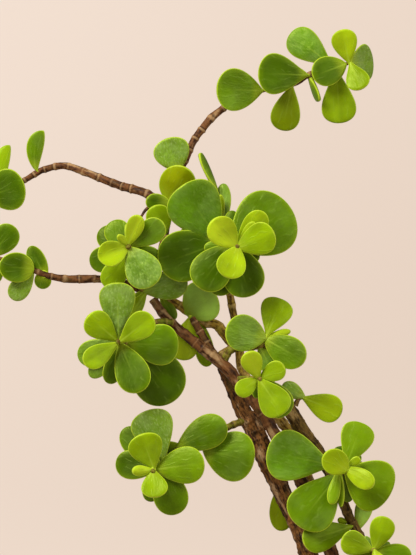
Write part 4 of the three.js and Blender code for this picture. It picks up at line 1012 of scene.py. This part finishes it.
def make_soil(soil, grit):
    """The soil's crowned top with crumbs, and loose grit lying on it."""
    top_radius = outer_radius(SOIL_TOP) - WALL - GAP
    foot = FLOOR + GAP
    profile = [(0, foot), (outer_radius(foot) - WALL - GAP, foot), (top_radius, SOIL_TOP)]
    for i in range(1, SOIL_RINGS + 1):
        out = top_radius * (1 - i / SOIL_RINGS)
        profile.append((out, soil_height(out, top_radius)))
    mesh = bmesh.new()
    lathe(mesh, profile, SOIL_AROUND)
    # Crumbs on the top alone, and lower ones near the pot
    for v in mesh.verts:
        if v.co.z > (SOIL_TOP - 1) * MM:
            spot = v.co / MM
            inner = min(1, (top_radius - math.hypot(spot.x, spot.y)) / 3 + 0.2)
            lumps = noise.fractal(spot * 0.35, 0.8, 2.2, 4) * CRUMB_HEIGHT
            v.co.z += (lumps * inner - CRUMB_SINK) * MM
    finish_piece(mesh, "potting_soil", soil, "soil", "soil")

    mesh = bmesh.new()
    draw = random.Random(11)
    for _ in range(GRIT_COUNT):
        way = draw.uniform(0, 2 * math.pi)
        out = (top_radius - GRIT_FROM_RIM) * math.sqrt(draw.random())
        lump = bmesh.ops.create_icosphere(
            mesh, subdivisions=1, radius=draw.uniform(*GRIT_RADIUS) * MM)
        stretch = Vector((draw.uniform(0.7, 1.2), draw.uniform(0.7, 1.2), draw.uniform(0.5, 0.8)))
        height = soil_height(out, top_radius) - GRIT_SINK
        place = Vector((out * math.cos(way), out * math.sin(way), height))
        for v in lump["verts"]:
            dent = 1 + 0.25 * noise.noise(v.co / MM + place)
            v.co = Vector([a * b * dent for a, b in zip(v.co, stretch)]) + place * MM
    finish_piece(mesh, "soil_grit", grit, "soil", "soil")


# -------------------------------- studio


def add_softbox(name, place, size, power, colour):
    """A square soft light that looks at the crown."""
    data = bpy.data.lights.new(name, "AREA")
    data.shape = "SQUARE"
    data.size = size
    data.energy = power
    data.color = colour
    light = bpy.data.objects.new(name, data)
    light.location = place
    light.rotation_euler = (VIEW_CENTRE - Vector(place)).to_track_quat("-Z", "Y").to_euler()
    light.visible_camera = False
    bpy.context.scene.collection.objects.link(light)


def make_studio():
    """A pale floor that sweeps up into a wall, two softboxes and a level camera far off."""
    mesh = bmesh.new()
    arc = [
        (FLOOR_RADIUS + SWEEP * math.sin(a), SWEEP * (1 - math.cos(a)))
        for a in [i / SWEEP_STEPS * math.pi / 2 for i in range(SWEEP_STEPS + 1)]
    ]
    profile = [(0, 0)] + arc + [(FLOOR_RADIUS + SWEEP, WALL_TOP)]
    lathe(mesh, [(r / MM, h / MM) for r, h in profile], STUDIO_AROUND)
    bmesh.ops.recalc_face_normals(mesh, faces=mesh.faces)
    bmesh.ops.reverse_faces(mesh, faces=mesh.faces)
    floor = new_object(mesh, "studio_floor", studio_material())

    add_softbox("key", *KEY)
    add_softbox("fill", *FILL)

    world = bpy.data.worlds.new("studio")
    world.use_nodes = True
    air = world.node_tree.nodes["Background"].inputs
    air["Color"].default_value = AIR
    air["Strength"].default_value = AIR_GLOW
    bpy.context.scene.world = world

    data = bpy.data.cameras.new("camera")
    data.sensor_width = SENSOR
    data.lens = SENSOR * VIEW_DISTANCE / VIEW_HEIGHT
    data.clip_end = VIEW_END
    camera = bpy.data.objects.new("camera", data)
    camera.location = VIEW_CENTRE + FRONT * VIEW_DISTANCE
    camera.rotation_euler = (math.pi / 2, 0, 0)
    bpy.context.scene.collection.objects.link(camera)
    bpy.context.scene.camera = camera
    bpy.context.scene.view_settings.view_transform = "Standard"


make_studio()

leaf = leaf_material()
bark = bark_group()
old_bark = bark_material(
    "old bark", bark, (38, 18, 4), (136, 90, 44), (198, 162, 118), (98, 76, 28), 0.8)
red_bark = bark_material(
    "red bark", bark, (50, 25, 8), (118, 76, 40), (184, 150, 104), (96, 70, 30), 0.12)
green_bark = bark_material(
    "green bark", bark, (50, 34, 6), (118, 90, 38), (180, 148, 92), (96, 92, 26), 0.4)
# The next bark is painted lighter than the stem's own tan, to make up for the shade the crown casts
# on it
tan_bark_painted_lighter = bark_material(
    "tan bark", bark, (88, 62, 16), (180, 145, 56), (212, 180, 114), (148, 136, 42), 0.2)
green_twig = bark_material(
    "green twig", bark, (82, 56, 18), (128, 126, 34), (168, 140, 70), (106, 128, 24), 0.1)

# Each node: its stems and their kind and bark, and its leaves
PLANT = {
    "stem_left": ([STEM_LEFT], TRUNK, old_bark, STEM_LEFT_LEAVES),
    "stem_middle": ([STEM_MIDDLE, STEM_MIDDLE_SIDE], BRANCH, red_bark, STEM_MIDDLE_LEAVES),
    "stem_right": ([STEM_RIGHT, STEM_RIGHT_TWIG], BRANCH, green_bark, STEM_RIGHT_LEAVES),
    "stem_rear": (
        [STEM_REAR, STEM_REAR_SIDE, STEM_REAR_LINK], BRANCH, tan_bark_painted_lighter, STEM_REAR_LEAVES),
    "branch_top": ([BRANCH_TOP, BRANCH_TOP_TWIG], BRANCH, red_bark, BRANCH_TOP_LEAVES),
    "branch_upper_left": ([BRANCH_UPPER_LEFT], BRANCH, red_bark, BRANCH_UPPER_LEFT_LEAVES),
    "branch_lower_left": ([BRANCH_LOWER_LEFT], BRANCH, red_bark, BRANCH_LOWER_LEFT_LEAVES),
    "rosette_centre": ([CENTRE_STEM, CENTRE_TWIG], TWIG, green_twig, CENTRE_LEAVES),
    "rosette_upper_left": ([UPPER_LEFT_STEM], TWIG, green_twig, UPPER_LEFT_LEAVES),
    "rosette_left": ([LEFT_STEM], TWIG, green_twig, LEFT_LEAVES),
    "rosette_lower_left": (
        [LOWER_LEFT_STEM, LOWER_LEFT_TWIG], TWIG, green_twig, LOWER_LEFT_LEAVES),
    "rosette_upper_right": (
        [UPPER_RIGHT_STEM, UPPER_RIGHT_STUB], TWIG, green_twig, UPPER_RIGHT_LEAVES),
    "rosette_middle_right": ([MIDDLE_RIGHT_STEM], TWIG, green_twig, MIDDLE_RIGHT_LEAVES),
    "rosette_right": ([RIGHT_STEM, RIGHT_TWIG], TWIG, green_twig, RIGHT_LEAVES),
    "rosette_lower_right": ([LOWER_RIGHT_STEM], TWIG, green_twig, LOWER_RIGHT_LEAVES),
    "spray_low_right": ([LOW_RIGHT_STEM], TWIG, green_bark, LOW_RIGHT_LEAVES),
    "spray_low_left": ([LOW_LEFT_STEM], TWIG, green_bark, LOW_LEFT_LEAVES),
    "spray_low_rear": ([LOW_REAR_STEM], TWIG, green_bark, LOW_REAR_LEAVES),
}
for order, (node, (stems, kind, finish, leaves)) in enumerate(PLANT.items(), 1):
    make_stems(node, stems, finish, kind, order)
    make_leaves(node, leaves, leaf, order)

make_pot(clay_material())
make_soil(soil_material(), grit_material())
